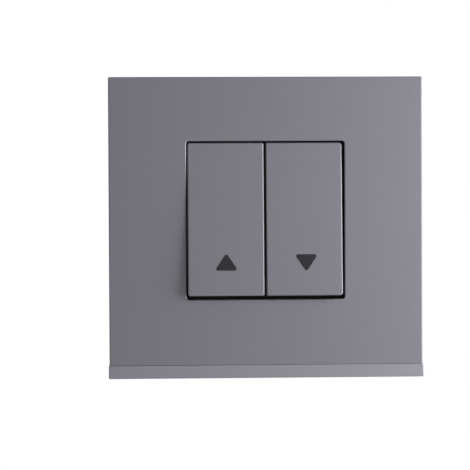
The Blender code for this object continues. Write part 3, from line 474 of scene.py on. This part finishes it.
# A screw thread: the radius swings between core and crest as a triangle wave of
# (depth - pitch * turns) / pitch, and dies out at both ends
def thread(core, crest, span, pitch, centre, sides=28, perPitch=10):
    count = int(abs(span[1] - span[0]) / pitch * perPitch) + 1
    depth = np.linspace(*span, count)[:, None]
    turn = np.linspace(0, 2 * math.pi, sides, endpoint=False)[None]
    wave = np.abs(((depth - span[0]) / pitch - turn / (2 * math.pi)) % 1 * 2 - 1)
    ends = np.clip(np.minimum(depth - span[0], span[1] - depth) / pitch, 0, 1)
    radius = core + (crest - core) * wave * ends
    x = centre[0] + radius * np.cos(turn)
    z = centre[1] + radius * np.sin(turn)
    body = np.stack([x, np.broadcast_to(depth, x.shape), z], -1)
    poles = [np.broadcast_to([centre[0], d, centre[1]], body[:1].shape) for d in span]
    return gridPart(np.concatenate([poles[0], body, poles[1]]))


# A coil: a circle of wire carried along a helix, whose depth rises evenly over the middle turns and by
# endRise thicknesses of the wire over the first and last one; each end is shut in a pole
def coil(centre, radius, wire, span, turns, sides=10, perTurn=28, endRise=1.6):
    turn = np.linspace(0, turns, turns * perTurn + 1)
    closed = endRise * 2 * wire / (span[1] - span[0] - 2 * wire)
    share = np.interp(turn, [0, 1, turns - 1, turns], [0, closed, 1 - closed, 1])
    angle = 2 * math.pi * turn
    out = np.stack([np.cos(angle), np.zeros_like(angle), np.sin(angle)], -1)
    path = np.array([centre[0], 0, centre[1]]) + radius * out
    path[:, 1] = span[0] + wire + (span[1] - span[0] - 2 * wire) * share
    way = np.gradient(path, axis=0)
    way /= np.linalg.norm(way, axis=1, keepdims=True)
    side = np.cross(way, out)
    around = np.linspace(0, 2 * math.pi, sides, endpoint=False)[None, :, None]
    tube = path[:, None] + wire * (np.cos(around) * out[:, None] + np.sin(around) * side[:, None])
    ends = [np.broadcast_to(path[i], tube[:1].shape[1:])[None] for i in (0, -1)]
    return gridPart(np.concatenate([ends[0], tube, ends[1]]))


# Tips points by an angle in degrees about an axis along X at that depth, as a key lies at rest
def tip(part, depth, degrees):
    points, faces = part
    c, s = math.cos(math.radians(degrees)), math.sin(math.radians(degrees))
    y, z = points[:, 1] - depth, points[:, 2]
    return np.stack([points[:, 0], depth + y * c - z * s, y * s + z * c], -1), faces


# A closed mesh from several parts: doubles merged and normals outwards
def meshFrom(name, parts):
    counts = np.cumsum([0] + [len(points) for points, _ in parts])
    points = np.concatenate([points for points, _ in parts])
    faces = [[v + start for v in face] for (_, faces), start in zip(parts, counts.tolist()) for face in faces]
    mesh = bpy.data.meshes.new(name)
    mesh.from_pydata(points, [], faces)
    bm = bmesh.new()
    bm.from_mesh(mesh)
    bmesh.ops.remove_doubles(bm, verts=bm.verts, dist=smoothing["merge"])
    bmesh.ops.recalc_face_normals(bm, faces=bm.faces)
    bm.to_mesh(mesh)
    bm.free()
    return mesh


# Cuts blocks out of one part and gives back its points and faces; nothing of the cut stays behind
def cutOut(part, blocks):
    objects = []
    for name, parts in (("blank", [part]), ("cutter", blocks)):
        made = bpy.data.objects.new(name, meshFrom(name, parts))
        bpy.context.scene.collection.objects.link(made)
        objects.append(made)
    blank, tool = objects
    cut = blank.modifiers.new("cut", "BOOLEAN")
    cut.object = tool
    cut.operation = "DIFFERENCE"
    cut.solver = "EXACT"
    bpy.context.view_layer.update()
    done = bpy.data.meshes.new_from_object(blank.evaluated_get(bpy.context.evaluated_depsgraph_get()))
    points = np.empty(len(done.vertices) * 3)
    done.vertices.foreach_get("co", points)
    faces = [list(polygon.vertices) for polygon in done.polygons]
    for made in objects:
        bpy.data.objects.remove(made)
    return points.reshape(-1, 3), faces


# One object, smooth where its surface bends gently and with its flat faces kept flat; where an edge is
# given, a bevel rounds its edges
def placePiece(name, mesh, finish, body, stands, edge=0.0):
    mesh.polygons.foreach_set("use_smooth", np.ones(len(mesh.polygons), bool))
    mesh.set_sharp_from_angle(angle=math.radians(smoothing["sharpFrom"]))
    mesh.materials.append(finishes[finish])
    piece = bpy.data.objects.new(name, mesh)
    bpy.context.scene.collection.objects.link(piece)
    if edge:
        bevel = piece.modifiers.new("edges", "BEVEL")
        bevel.width = edge
        bevel.segments = 2
        bevel.limit_method = "ANGLE"
        bevel.angle_limit = math.radians(smoothing["bevelFrom"])
        bevel.harden_normals = False
    weigh = piece.modifiers.new("flat faces", "WEIGHTED_NORMAL")
    weigh.keep_sharp = True
    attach(piece, body)
    if stands:
        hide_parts(*stands)
    return piece


def makePiece(name, parts, finish, body, stands=()):
    return placePiece(name, meshFrom(name, parts), finish, body, stands)


# A copy of a CAD node with its loose triangles merged into flat faces and its edges rounded
def softenedCopy(node, finish, body, edge):
    bm = bmesh.new()
    bm.from_mesh(nodes[node].data)
    bmesh.ops.remove_doubles(bm, verts=bm.verts, dist=smoothing["mergeSolid"])
    flat = math.radians(smoothing["flatTo"])
    bmesh.ops.dissolve_limit(bm, angle_limit=flat, verts=bm.verts, edges=bm.edges)
    points = [tuple(v.co) for v in bm.verts]
    faces = [[v.index for v in f.verts] for f in bm.faces]
    bm.free()
    mesh = bpy.data.meshes.new(node + "_dressed")
    mesh.from_pydata(points, [], faces)
    placePiece(node + "_dressed", mesh, finish, body, (node,), edge)


# Cover plate: one section carried round the plate, from its back edge over the front into the window
plate = {
    "half": (45.0 * mm, 41.25 * mm),
    "corner": 0.45 * mm,
    "front": -9.0 * mm,
    "back": -4.5 * mm,
    "edge": 0.40 * mm,
    "lowerEdge": 0.12,  # the round of the lower edge has only this share of its height
    "soft": 0.12 * mm,
    "window": (22.72 * mm, 22.70 * mm),
    "windowMiddle": (-0.12 * mm, 0.18 * mm),
    "windowCorner": 0.8 * mm,
    "chamfer": 0.22 * mm,
    "chamferLead": (0.04 * mm, 0.01 * mm),
    "collar": 1.2 * mm,
    "faceWall": 2.0 * mm,
    "sideWall": 1.8 * mm,
    "innerCorner": 0.1 * mm,
    "sink": 0.2 * mm,  # how far ribs and legs reach into the wall that they stand on
    "rib": {"wall": 1.0 * mm, "height": 1.8 * mm, "overlap": 0.4 * mm,
            "upright": (-11.25 * mm, 0, 11.25 * mm), "level": (-12 * mm, 12 * mm)},
    "leg": {"x": 40.0 * mm, "z": 24.0 * mm, "width": 4.6 * mm, "wall": 1.2 * mm, "length": 5.6 * mm,
            "barb": 0.6 * mm, "barbRoot": 0.2 * mm, "catch": -2.5 * mm},
}


def coverPlate():
    p = plate
    x, z = p["half"]
    wx, wz = p["window"]
    cx, cz = wx + p["collar"], wz + p["collar"]
    ix, iz = x - p["sideWall"], z - p["sideWall"]
    r, wr, c, soft = p["corner"], p["windowCorner"], p["chamfer"], p["soft"]
    cr, ir = wr + p["collar"], p["innerCorner"]
    front, back, inner = p["front"], p["back"], p["front"] + p["faceWall"]
    lead, leadDepth = p["chamferLead"]
    outside = [(x - i, z - i, r - i, back - d) for i, d in reversed(list(zip(*quarter(soft, 2))))]
    outside += [(x - i, z - i, r - i, front + d) for i, d in zip(*quarter(p["edge"], 6))]
    window = [
        (wx + c + lead, wz + c + lead, wr + c, front),
        (wx + c, wz + c, wr + c, front + leadDepth),
        (wx, wz, wr, front + c),
        (wx, wz, wr, back - soft),
        (wx + soft, wz + soft, wr + soft, back),
        (cx - soft, cz - soft, cr, back),
        (cx, cz, cr, back - soft),
        (cx, cz, cr, inner),
    ]
    inside = [(ix, iz, ir, inner), (ix, iz, ir, back)]
    loft = ringLoft(outside + window + inside)
    # the round of the lower edge is flatter: what lies in it is drawn down towards the edge
    height = loft[..., 2] + z
    loft[..., 2] = np.where(height < p["edge"], height * p["lowerEdge"], height) - z
    # the window and its collar have a middle of their own
    loft[len(outside):-len(inside), :, 0] += p["windowMiddle"][0]
    loft[len(outside):-len(inside), :, 2] += p["windowMiddle"][1]
    parts = [gridPart(loft, joinRows=True)]
    rib, leg = p["rib"], p["leg"]
    ribSpan = (inner - p["sink"], inner + rib["height"])
    legSpan = (inner - p["sink"], inner + leg["length"])
    for side in (-1, 1):
        for at in rib["upright"]:
            zs = sorted((side * (cz - rib["overlap"]), side * iz))
            parts.append(block(spanAt(at, rib["wall"]), ribSpan, zs))
        for at in rib["level"]:
            xs = sorted((side * (cx - rib["overlap"]), side * ix))
            parts.append(block(xs, ribSpan, spanAt(at, rib["wall"])))
        for at in (-leg["z"], 0, leg["z"]):
            zs = spanAt(at, leg["width"])
            parts.append(block(spanAt(side * leg["x"], leg["wall"]), legSpan, zs))
            foot = side * (leg["x"] - leg["wall"] / 2)
            root, point = foot + side * leg["barbRoot"], foot - side * leg["barb"]
            barb = [(root, leg["catch"]), (point, leg["catch"]), (foot, legSpan[1]), (root, legSpan[1])]
            parts.append(bar(barb, 2, zs))
    makePiece("cover_plate_shell", parts, "platePaint", "root", ("cover_plate",))


coverPlate()
print("cover plate drawn")

# Base frame: a channel behind the plate, open at the back, and the lip as a hollow bar below it
base = {
    "halfX": 44.0 * mm,
    "top": 40.25 * mm,
    "front": -4.2 * mm,
    "opening": 36.0 * mm,
    "corner": 6.0 * mm,
    "outerCorners": (0.3 * mm, 0.2 * mm),
    "soft": 0.12 * mm,
    "wall": 1.2 * mm,
    "wallEdge": 0.06 * mm,
    "face": 1.4 * mm,
    "flange": 1.2 * mm,
    "reach": 3.0 * mm,
    "lap": 0.1 * mm,  # how far one part of the frame reaches into the next
    "hair": 0.01 * mm,  # how far walls stand back, so that no two faces lie in one plane
    "web": {"wall": 1.0 * mm, "edge": 0.08 * mm, "level": (-36 * mm, -12 * mm, 12 * mm, 36 * mm),
            "upright": (-24 * mm, 0, 24 * mm)},
    "legSlot": {"width": 1.8 * mm, "height": 5.2 * mm, "beyond": 1 * mm},
    "lip": {"top": -41.29 * mm, "foot": -44.96 * mm, "front": -8.93 * mm, "lean": 17.0,
            "upperRound": 0.12 * mm, "lowerRound": 0.22 * mm, "wall": 1.2 * mm, "half": 45.2 * mm,
            "edge": 0.3 * mm},
}


# The lip: its section carried along X, hollow in the middle, solid and rounded off at both ends
def lipPart():
    b, lip = base, base["lip"]
    top, foot, wall, half = lip["top"], lip["foot"], lip["wall"], lip["half"]
    lean = math.radians(lip["lean"])
    channel = b["front"] + b["face"]
    upper, lower = lip["upperRound"], lip["lowerRound"]
    footFront = lip["front"] - (top - foot) * math.tan(lean)
    upperCentre = (lip["front"] + upper * (1 - math.sin(lean)) / math.cos(lean), top - upper)
    lowerCentre = (footFront + lower * (1 + math.sin(lean)) / math.cos(lean), foot + lower)
    face = np.concatenate([
        arcPoints(upperCentre, upper, 90, 180 - lip["lean"], steps=9),
        arcPoints(lowerCentre, lower, 180 - lip["lean"], 270, steps=7),
    ])
    # a ring of the hollow stretch runs along the outer face and back along the core; in the solid ends it
    # runs back along the rear instead
    outer = np.concatenate([[(channel, top)], face, [(0, foot)]])
    coreTop = lip["front"] - wall * math.tan(lean) + wall / math.cos(lean)
    coreFoot = coreTop - (top - foot - 2 * wall) * math.tan(lean)
    core = np.concatenate([
        [(0, foot + wall)],
        np.linspace((coreFoot, foot + wall), (coreTop, top - wall), len(face)),
        [(channel, top - wall)],
    ])
    profile = np.concatenate([face, [(0, foot), (0, top)]])

    def solidRing(inset):
        shrunk = insetOutline(profile, inset)
        footBack, topBack = shrunk[-2:]
        rear = np.linspace(footBack, topBack, len(face) + 2)[1:]
        return np.concatenate([[(channel, topBack[1])], shrunk[:-1], rear, [(channel / 2, topBack[1])]])

    inset, drop = quarter(lip["edge"], 4)
    ends, solid, hollow = [solidRing(i) for i in inset], solidRing(0), np.concatenate([outer, core])
    middle = np.broadcast_to(profile.mean(axis=0), solid.shape)
    flat = np.stack([middle, *ends[::-1], solid, hollow, hollow, solid, *ends, middle])
    solidEnd = half - b["halfX"] + b["wall"]
    fromEnd = np.concatenate([[0], drop[::-1], [solidEnd, solidEnd]])
    along = np.concatenate([fromEnd - half, half - fromEnd[::-1]])
    rings = np.concatenate([np.broadcast_to(along[:, None, None], (*flat.shape[:2], 1)), flat], -1)
    return gridPart(rings)


def baseFrame():
    b, lip, web, slot = base, base["lip"], base["web"], base["legSlot"]
    x, top, front, o, r = b["halfX"], b["top"], b["front"], b["opening"], b["corner"]
    soft, lap, hair = b["soft"], b["lap"], b["hair"]
    outerCorner, softCorner = b["outerCorners"]
    channel = front + b["face"]
    low = lip["top"] - lap
    middle, z = (top + low) / 2, (top - low) / 2
    # the outline reaches further down than the opening, so each row has its own middle
    face = np.array([
        (x, z, outerCorner, channel, middle),
        (x, z, outerCorner, front + soft, middle),
        (x - soft, z - soft, softCorner, front, middle),
        (o + soft, o + soft, r, front, 0),
        (o, o, r, front + soft, 0),
        (o, o, r, channel, 0),
    ])
    loft = ringLoft(face[:, :4])
    loft[..., 2] += face[:, 4, None]
    narrow, wide = o - b["reach"], o + b["wall"]
    inner = [
        (o, o, r, channel - lap),
        (o, o, r, -b["flange"]),
        (narrow, narrow, r, -b["flange"]),
        (narrow, narrow, r, 0),
        (wide, wide, r, 0),
        (wide, wide, r, channel - lap),
    ]
    leg, through = plate["leg"], (front - slot["beyond"], channel + slot["beyond"])
    slots = [
        block(spanAt(side * leg["x"], slot["width"]), through, spanAt(at, slot["height"]))
        for side in (-1, 1) for at in (-leg["z"], 0, leg["z"])
    ]
    slotted = cutOut(gridPart(loft, joinRows=True), slots)
    parts = [slotted, gridPart(ringLoft(inner), joinRows=True), lipPart()]
    wallDepth, webDepth = (channel - lap, 0), (channel - lap, -b["flange"])
    under = top - b["wall"]
    parts.append(block((hair - x, x - hair), wallDepth, (under, top - hair), b["wallEdge"]))
    for side in (-1, 1):
        xs = sorted((side * (x - b["wall"]), side * (x - 2 * hair)))
        parts.append(block(xs, wallDepth, (low, under + 2 * lap), b["wallEdge"]))
        xs = sorted((side * (wide - lap), side * (x - b["wall"] + lap)))
        for at in web["level"]:
            parts.append(block(xs, webDepth, spanAt(at, web["wall"]), web["edge"]))
    for at in web["upright"]:
        for zs in ((wide - lap, under + lap), (lip["foot"] + lip["wall"] - lap, lap - wide)):
            parts.append(block(spanAt(at, web["wall"]), webDepth, zs, web["edge"]))
    makePiece("base_frame_shell", parts, "framePaint", "root", ("base_frame",))


baseFrame()
print("base frame and lip drawn")

# Keys: a shell whose section runs from the middle of its inside round the rim to the middle of its face
key = {
    "half": (10.86 * mm, 21.86 * mm),
    "offset": {-1: -11.55 * mm, 1: 10.91 * mm},
    "raise": 0.18 * mm,
    "front": -10.0 * mm,
    "depth": 4.0 * mm,
    "faceWall": 1.8 * mm,
    "sideWall": 1.4 * mm,
    "soft": 0.15 * mm,
    "corner": 0.65 * mm,
    "insideCorner": 0.7,  # the corners of the inside, as a share of the outer ones
    "middleCorner": 0.7,  # the corners beside the other key, as a share of the rest
    "bevel": {"start": 0.01 * mm, "inset": 0.25 * mm, "fall": 0.16 * mm, "ease": 0.04 * mm},
    "hook": {"x": 7.4 * mm, "z": 13 * mm, "wall": 1.0 * mm, "width": 3.0 * mm,
             "depth": (-8.4 * mm, -5.6 * mm)},
    "axis": -4.5 * mm,
    "tilt": -3.5,
}
# Arrow signs: a rounded triangle printed a hair thick on the face
sign = {
    "width": 5.85 * mm,
    "height": 4.60 * mm,
    "place": {-1: -11.50 * mm, 1: 11.38 * mm},
    "middle": -12.2 * mm,
    "corner": 0.5 * mm,
    "thick": 0.03 * mm,
    "sink": 0.02 * mm,
    "edge": 0.02 * mm,
}


# A triangle with its point up (way 1) or down (way -1): each corner is an arc between the normals of its
# two sides, and the whole is then brought to its width and height
def roundedTriangle(way, width, height, radius, steps=6):
    corners = np.array([(0, height / 2), (-width / 2, -height / 2), (width / 2, -height / 2)])
    toNext = np.roll(corners, -1, axis=0) - corners
    normal = np.degrees(np.arctan2(-toNext[:, 0], toNext[:, 1]))
    inner = insetOutline(corners, radius)
    arcs = []
    for corner, start, end in zip(inner, np.roll(normal, 1), normal):
        arcs.append(arcPoints(corner, radius, start, start + (end - start) % 360, steps))
    outline = np.concatenate(arcs)
    low, high = outline.min(axis=0), outline.max(axis=0)
    outline = (outline - (low + high) / 2) * np.array([width, height]) / (high - low)
    return outline * np.array([1, way])


def makeKey(side, way):
    k, bevel, hook = key, key["bevel"], key["hook"]
    hx, hz = k["half"]
    r, soft, front, back = k["corner"], k["soft"], k["front"], k["front"] + k["depth"]
    ix, iz, ir, inner = hx - k["sideWall"], hz - k["sideWall"], r * k["insideCorner"], front + k["faceWall"]
    # the bevel as inset and drop: its two corners are eased, with a row close to each so that it stays flat
    nearEnds = np.array([0, 0.1, 0.9, 1])
    start, ease = bevel["start"], bevel["ease"]
    inset = [0, *(start + (bevel["inset"] - start) * nearEnds), bevel["inset"] + ease]
    drop = [bevel["fall"] + ease, *(bevel["fall"] + (start - bevel["fall"]) * nearEnds), 0]
    rows = [
        (0, hz - hx, 0, inner),
        (ix, iz, ir, inner),
        (ix, iz, ir, back - soft),
        (ix + soft, iz + soft, ir, back),
        (hx - soft, hz - soft, r - soft, back),
        (hx, hz, r, back - soft),
        *((hx - i, hz - i, r - i, front + d) for i, d in zip(inset, drop)),
        (0, hz - hx, 0, front),
    ]
    # the corners beside the other key are tighter
    share = np.array([1, k["middleCorner"], k["middleCorner"], 1])
    centre = (k["offset"][side], k["raise"])
    parts = [gridPart(ringLoft(rows, centre, share if side > 0 else np.roll(share, 2)))]
    for x in (centre[0] - hook["x"], centre[0] + hook["x"]):
        for z in (-hook["z"], hook["z"]):
            parts.append(block(spanAt(x, hook["wall"]), hook["depth"], spanAt(z, hook["width"])))
    parts = [tip(part, k["axis"], k["tilt"]) for part in parts]
    makePiece(f"key_{way}_cap", parts, "keyPaint", f"{way}_key", (f"key_{way}",))
    # the left key points up and the right key down
    s = sign
    outline = roundedTriangle(-side, s["width"], s["height"], s["corner"]) + (s["place"][side], s["middle"])
    mark = bar(outline, 1, (front - s["thick"], front + s["sink"]), s["edge"])
    makePiece(f"key_{way}_sign", [tip(mark, k["axis"], k["tilt"])], "ink", f"{way}_key")


makeKey(-1, "up")
makeKey(1, "down")
print("keys and arrow signs drawn")

# Screws of the wall box: a round head with a slot, and a shank with a coarse thread
boxScrew = {
    "head": 3.25 * mm,
    "headHeight": 2.2 * mm,
    "dome": 0.55,  # the share of the head's height that is domed
    "rim": 0.15 * mm,
    "core": 1.2 * mm,
    "crest": 1.6 * mm,
    "pitch": 1.0 * mm,
    "length": 18.0 * mm,
    "seat": -3.0 * mm,
    "threadGaps": (-0.2 * mm, 0.6 * mm),
    "point": (0.64 * mm, 0.7 * mm),
    "slot": {"width": 0.8 * mm, "depth": 0.9 * mm, "half": 5 * mm},
}
# Screws of the terminals: a flat head with a slot, and a fine thread
terminalScrew = {
    "head": 2.5 * mm,
    "headHeight": 1.5 * mm,
    "rim": ((0.2 * mm, 0), (0.05 * mm, 0.06 * mm), (0, 0.22 * mm)),
    "core": 1.2 * mm,
    "crest": 1.5 * mm,
    "pitch": 0.5 * mm,
    "threadStart": -0.1 * mm,
    "y": 18.7 * mm,
    "top": 21.4 * mm,
    "foot": 17.6 * mm,
    "slot": {"width": 0.8 * mm, "depth": 0.9 * mm, "half": 4 * mm},
}
slotCutter = {"edge": 0.05 * mm, "beyond": 1 * mm}


def makeBoxScrew(name, x):
    s, slot = boxScrew, boxScrew["slot"]
    seat, end = s["seat"], s["seat"] + s["length"]
    top = seat - s["headHeight"]
    turn = np.linspace(0, math.pi / 2, 9)
    dome = np.stack([s["head"] * np.sin(turn), top + s["headHeight"] * s["dome"] * (1 - np.cos(turn))], -1)
    rim = [(s["head"], seat - s["rim"]), (s["head"] - s["rim"], seat), (0, seat)]
    depth = (top - slotCutter["beyond"], top + slot["depth"])
    cutter = block(spanAt(x, slot["width"]), depth, (-slot["half"], slot["half"]), slotCutter["edge"])
    head = cutOut(turned(np.concatenate([dome, rim]), (x, 0)), [cutter])
    before, after = s["threadGaps"]
    shank = thread(s["core"], s["crest"], (seat + before, end - after), s["pitch"], (x, 0))
    blunt, pointLength = s["point"]
    pointEnd = end - pointLength
    point = turned([(0, end), (blunt, end), (s["core"], pointEnd), (0, pointEnd)], (x, 0), sides=28)
    makePiece(f"{name}_threaded", [head, shank, point], "zincScrew", "root", (name,))


# A terminal screw stands along Z, its head at the top (end 1) or at the foot (end -1) of the housing: it is
# made along Y and turned on its side
def makeTerminalScrew(name, x, end):
    s, slot = terminalScrew, terminalScrew["slot"]
    head, height = s["head"], s["headHeight"]
    rim = [(head - i, d) for i, d in s["rim"]]
    profile = [(0, 0), *rim, (head, height), (s["core"], height), (0, height)]
    threadSpan = (height + s["threadStart"], s["top"] - s["foot"])
    lying = [turned(profile, (0, 0)), thread(s["core"], s["crest"], threadSpan, s["pitch"], (0, 0))]
    upright = []
    for points, faces in lying:
        place = np.stack([x + points[:, 0], s["y"] + points[:, 2], end * (s["top"] - points[:, 1])], -1)
        upright.append((place, faces))
    zs = sorted((end * (s["top"] - slot["depth"]), end * (s["top"] + slotCutter["beyond"])))
    xs = (x - slot["half"], x + slot["half"])
    upright[0] = cutOut(upright[0], [block(xs, spanAt(s["y"], slot["width"]), zs, slotCutter["edge"])])
    makePiece(f"{name}_threaded", upright, "zincScrew", "root", (name,))


makeBoxScrew("box_screw_left", -30 * mm)
makeBoxScrew("box_screw_right", 30 * mm)
makeTerminalScrew("terminal_screw_up", -11.25 * mm, 1)
makeTerminalScrew("terminal_screw_down", 11.25 * mm, 1)
makeTerminalScrew("terminal_screw_line", -11.25 * mm, -1)
print("screws drawn")

# Springs: the return springs behind the keys and those of the plungers
springs = {
    "wire": 0.20 * mm,
    "returnTurns": 5,
    "plungerTurns": 6,
    "plungerX": 11.25 * mm,
    "plungerRadius": 1.6 * mm,
    "plungerSpan": (-5.3 * mm, 0.9 * mm),
}


# The return spring of a key fills the box of its solid. The spring of the plunger is tipped with the key and
# rides in it.
def makeSprings(side, way):
    s = springs
    wire = s["wire"]
    node = f"return_spring_{way}"
    low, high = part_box(node)
    centre = ((low[0] + high[0]) / 2, (low[2] + high[2]) / 2)
    part = coil(centre, (high[0] - low[0]) / 2 - wire, wire, (low[1], high[1]), s["returnTurns"])
    piece = makePiece(f"{node}_wire", [part], "spring", "root", (node,))
    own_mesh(piece)
    node = f"plunger_spring_{way}"
    part = coil((side * s["plungerX"], 0), s["plungerRadius"], wire, s["plungerSpan"], s["plungerTurns"])
    part = tip(part, key["axis"], key["tilt"])
    makePiece(f"{node}_wire", [part], "spring", f"{way}_key", (node,))


makeSprings(-1, "up")
makeSprings(1, "down")
print("springs drawn")

# The mechanism: copies of the solids with rounded edges, as finish, body, slot and rounding
dressed = {
    "mounting_support": ("zincSheet", "root", "zinc_steel", 0.08 * mm),
    "mechanism_cover": ("black", "root", "black_plastic", 0.08 * mm),
    "mechanism_housing": ("grey", "root", "grey_plastic", 0.15 * mm),
    "rocker_up": ("white", "up_key", "white_plastic", 0.08 * mm),
    "rocker_down": ("white", "down_key", "white_plastic", 0.08 * mm),
    "terminal_block_line": ("brass", "root", "terminal_brass", 0.10 * mm),
    "terminal_block_up": ("brass", "root", "terminal_brass", 0.10 * mm),
    "terminal_block_down": ("brass", "root", "terminal_brass", 0.10 * mm),
}
for node, (finish, body, slot, edge) in dressed.items():
    softenedCopy(node, finish, body, edge)


# A thin black skirt round the front of the mechanism cover, behind the collar of the plate: it closes the
# view past the keys onto the metal support, a dark piece put there as painted shade to darken the gaps round
# the keys. One section carried round: front, inner edge, back, outer edge
shadeSkirt = {
    "inner": 22.1 * mm,
    "outer": 23.5 * mm,
    "front": -3.45 * mm,
    "back": -3.05 * mm,
    "edge": 0.08 * mm,
    "cornerCentre": 21.2 * mm,
}


def coverShadeSkirt():
    s = shadeSkirt
    e, i, o, f, b = s["edge"], s["inner"], s["outer"], s["front"], s["back"]
    section = [(i + e, f), (i, f + e), (i, b - e), (i + e, b), (o - e, b), (o, b - e), (o, f + e), (o - e, f)]
    rows = [(half, half, half - s["cornerCentre"], depth) for half, depth in section]
    part = gridPart(ringLoft(rows), joinRows=True)
    makePiece("mechanism_cover_shade_skirt", [part], "black", "root", ())


coverShadeSkirt()
print("mechanism dressed")

# Pieces that keep their solid and get a finish
kept = {
    "plunger_up": "black", "plunger_down": "black",
    "contact_lever_up": "strip", "contact_lever_down": "strip",
    "line_contact": "strip", "interlock_link": "strip",
    "output_contact_up": "strip", "output_contact_down": "strip",
}
for node, finish in kept.items():
    for materialSlot in nodes[node].material_slots:
        materialSlot.material = finishes[finish]
print("inner contacts finished")


# Studio: a soft lamp low at the right, one in front and above, and one behind: place, size in metres, watts
lamps = {
    "keyLamp": ((0.225, -0.10, 0.03), 0.22, 1.14),
    "fillLamp": ((0.10, -1.00, 0.80), 0.70, 1.52),
    "backLamp": ((-0.25, 0.80, 0.50), 0.60, 4.0),
}


# A square lamp that looks at the origin
def areaLamp(name, place, size, power):
    lamp = bpy.data.lights.new(name, "AREA")
    lamp.shape = "SQUARE"
    lamp.size = size
    lamp.energy = power
    holder = bpy.data.objects.new(name, lamp)
    bpy.context.scene.collection.objects.link(holder)
    holder.location = place
    holder.rotation_mode = "QUATERNION"
    holder.rotation_quaternion = (-Vector(place)).to_track_quat("-Z", "Y")


for name, (place, size, power) in lamps.items():
    areaLamp(name, place, size, power)


# 1 for the rays that look at something: those of the camera, of a reflection and through a pane
def seenDirectly(tree):
    shade = Shade(tree)
    camera, glossy, through = (
        shade.node("LightPath", out=f"Is {ray} Ray") for ray in ("Camera", "Glossy", "Transmission")
    )
    return shade.maths("MAXIMUM", shade.maths("MAXIMUM", camera, glossy), through)


# The surround is white to those rays, and a dim even light for the rest
surroundLevel = 0.05


def surround():
    world = bpy.data.worlds.new("studioSurround")
    bpy.context.scene.world = world
    world.use_nodes = True
    seen = seenDirectly(world.node_tree)
    background = world.node_tree.nodes["Background"]
    background.inputs["Color"].default_value = (1, 1, 1, 1)
    seen.maths("MAXIMUM", seen, surroundLevel).feed(background.inputs["Strength"])


surround()

# A pale floor. The rays that look at it see it nearly white below the switch and wholly white further out,
# so that it ends in the white surround
ground = {
    "half": 3.0,
    "height": -0.12,
    "tones": ((0.79, 0.79, 0.79), (0.81, 0.81, 0.81)),
    "grain": 0.03,
    "gloss": 0.8,
    "clearing": (0.18, 0.34),
    "nearWhite": 0.85,
}


def floorPiece():
    g = ground
    half, height = g["half"], g["height"]
    mesh = bpy.data.meshes.new("studioFloor")
    corners = [(-half, -half, height), (half, -half, height), (half, half, height), (-half, half, height)]
    mesh.from_pydata(corners, [], [[0, 1, 2, 3]])
    floor = bpy.data.objects.new("studioFloor", mesh)
    bpy.context.scene.collection.objects.link(floor)
    material, shade, shader = newMaterial("paleFloor", {"Roughness": g["gloss"]})
    place = shade.coordinates()
    linkTo(shader, colour=shade.blend(shade.noise(place, g["grain"], detail=3.0), *g["tones"]))
    white = shade.node("Emission", {}, {"Color": (1, 1, 1, 1), "Strength": 1.0})
    distance = shade.node("VectorMath", {"operation": "LENGTH"}, {0: place}, out="Value")
    cover = seenDirectly(material.node_tree) * distance.fade(*g["clearing"], g["nearWhite"])
    mixed = shade.node("MixShader", {}, {0: cover, 1: Shade(shade.tree, shader.outputs[0]), 2: white})
    mixed.feed(material.node_tree.nodes["Material Output"].inputs["Surface"])
    mesh.materials.append(material)


floorPiece()

# Camera, where the photograph was taken from: 0.6 m off, a little to the left. Angles are in degrees, the
# focal length in pixels of the photograph's frame.
view = {
    "place": (-0.0358, -0.5933, 0.0091),
    "yaw": 2.633,
    "pitch": 1.283,
    "roll": -0.266,
    "focal": 2044,
    "frame": 470,
    "sensor": 36,
    "nearest": 0.01,
}


def placeCamera():
    yaw, pitch, roll = (math.radians(view[angle]) for angle in ("yaw", "pitch", "roll"))
    ahead = Vector((math.sin(yaw) * math.cos(pitch), math.cos(yaw) * math.cos(pitch), -math.sin(pitch)))
    right = Vector((math.cos(yaw), -math.sin(yaw), 0))
    up = right.cross(ahead)
    turnedRight = right * math.cos(roll) + up * math.sin(roll)
    turnedUp = up * math.cos(roll) - right * math.sin(roll)
    data = bpy.data.cameras.new("camera")
    data.sensor_width = view["sensor"]
    data.lens = view["focal"] * view["sensor"] / view["frame"]
    data.clip_start = view["nearest"]
    camera = bpy.data.objects.new("camera", data)
    bpy.context.scene.collection.objects.link(camera)
    basis = Matrix((turnedRight, turnedUp, -ahead)).transposed().to_4x4()
    basis.translation = Vector(view["place"])
    camera.matrix_world = basis
    bpy.context.scene.camera = camera


placeCamera()
bpy.context.scene.view_settings.view_transform = "Standard"
print("studio and camera set")
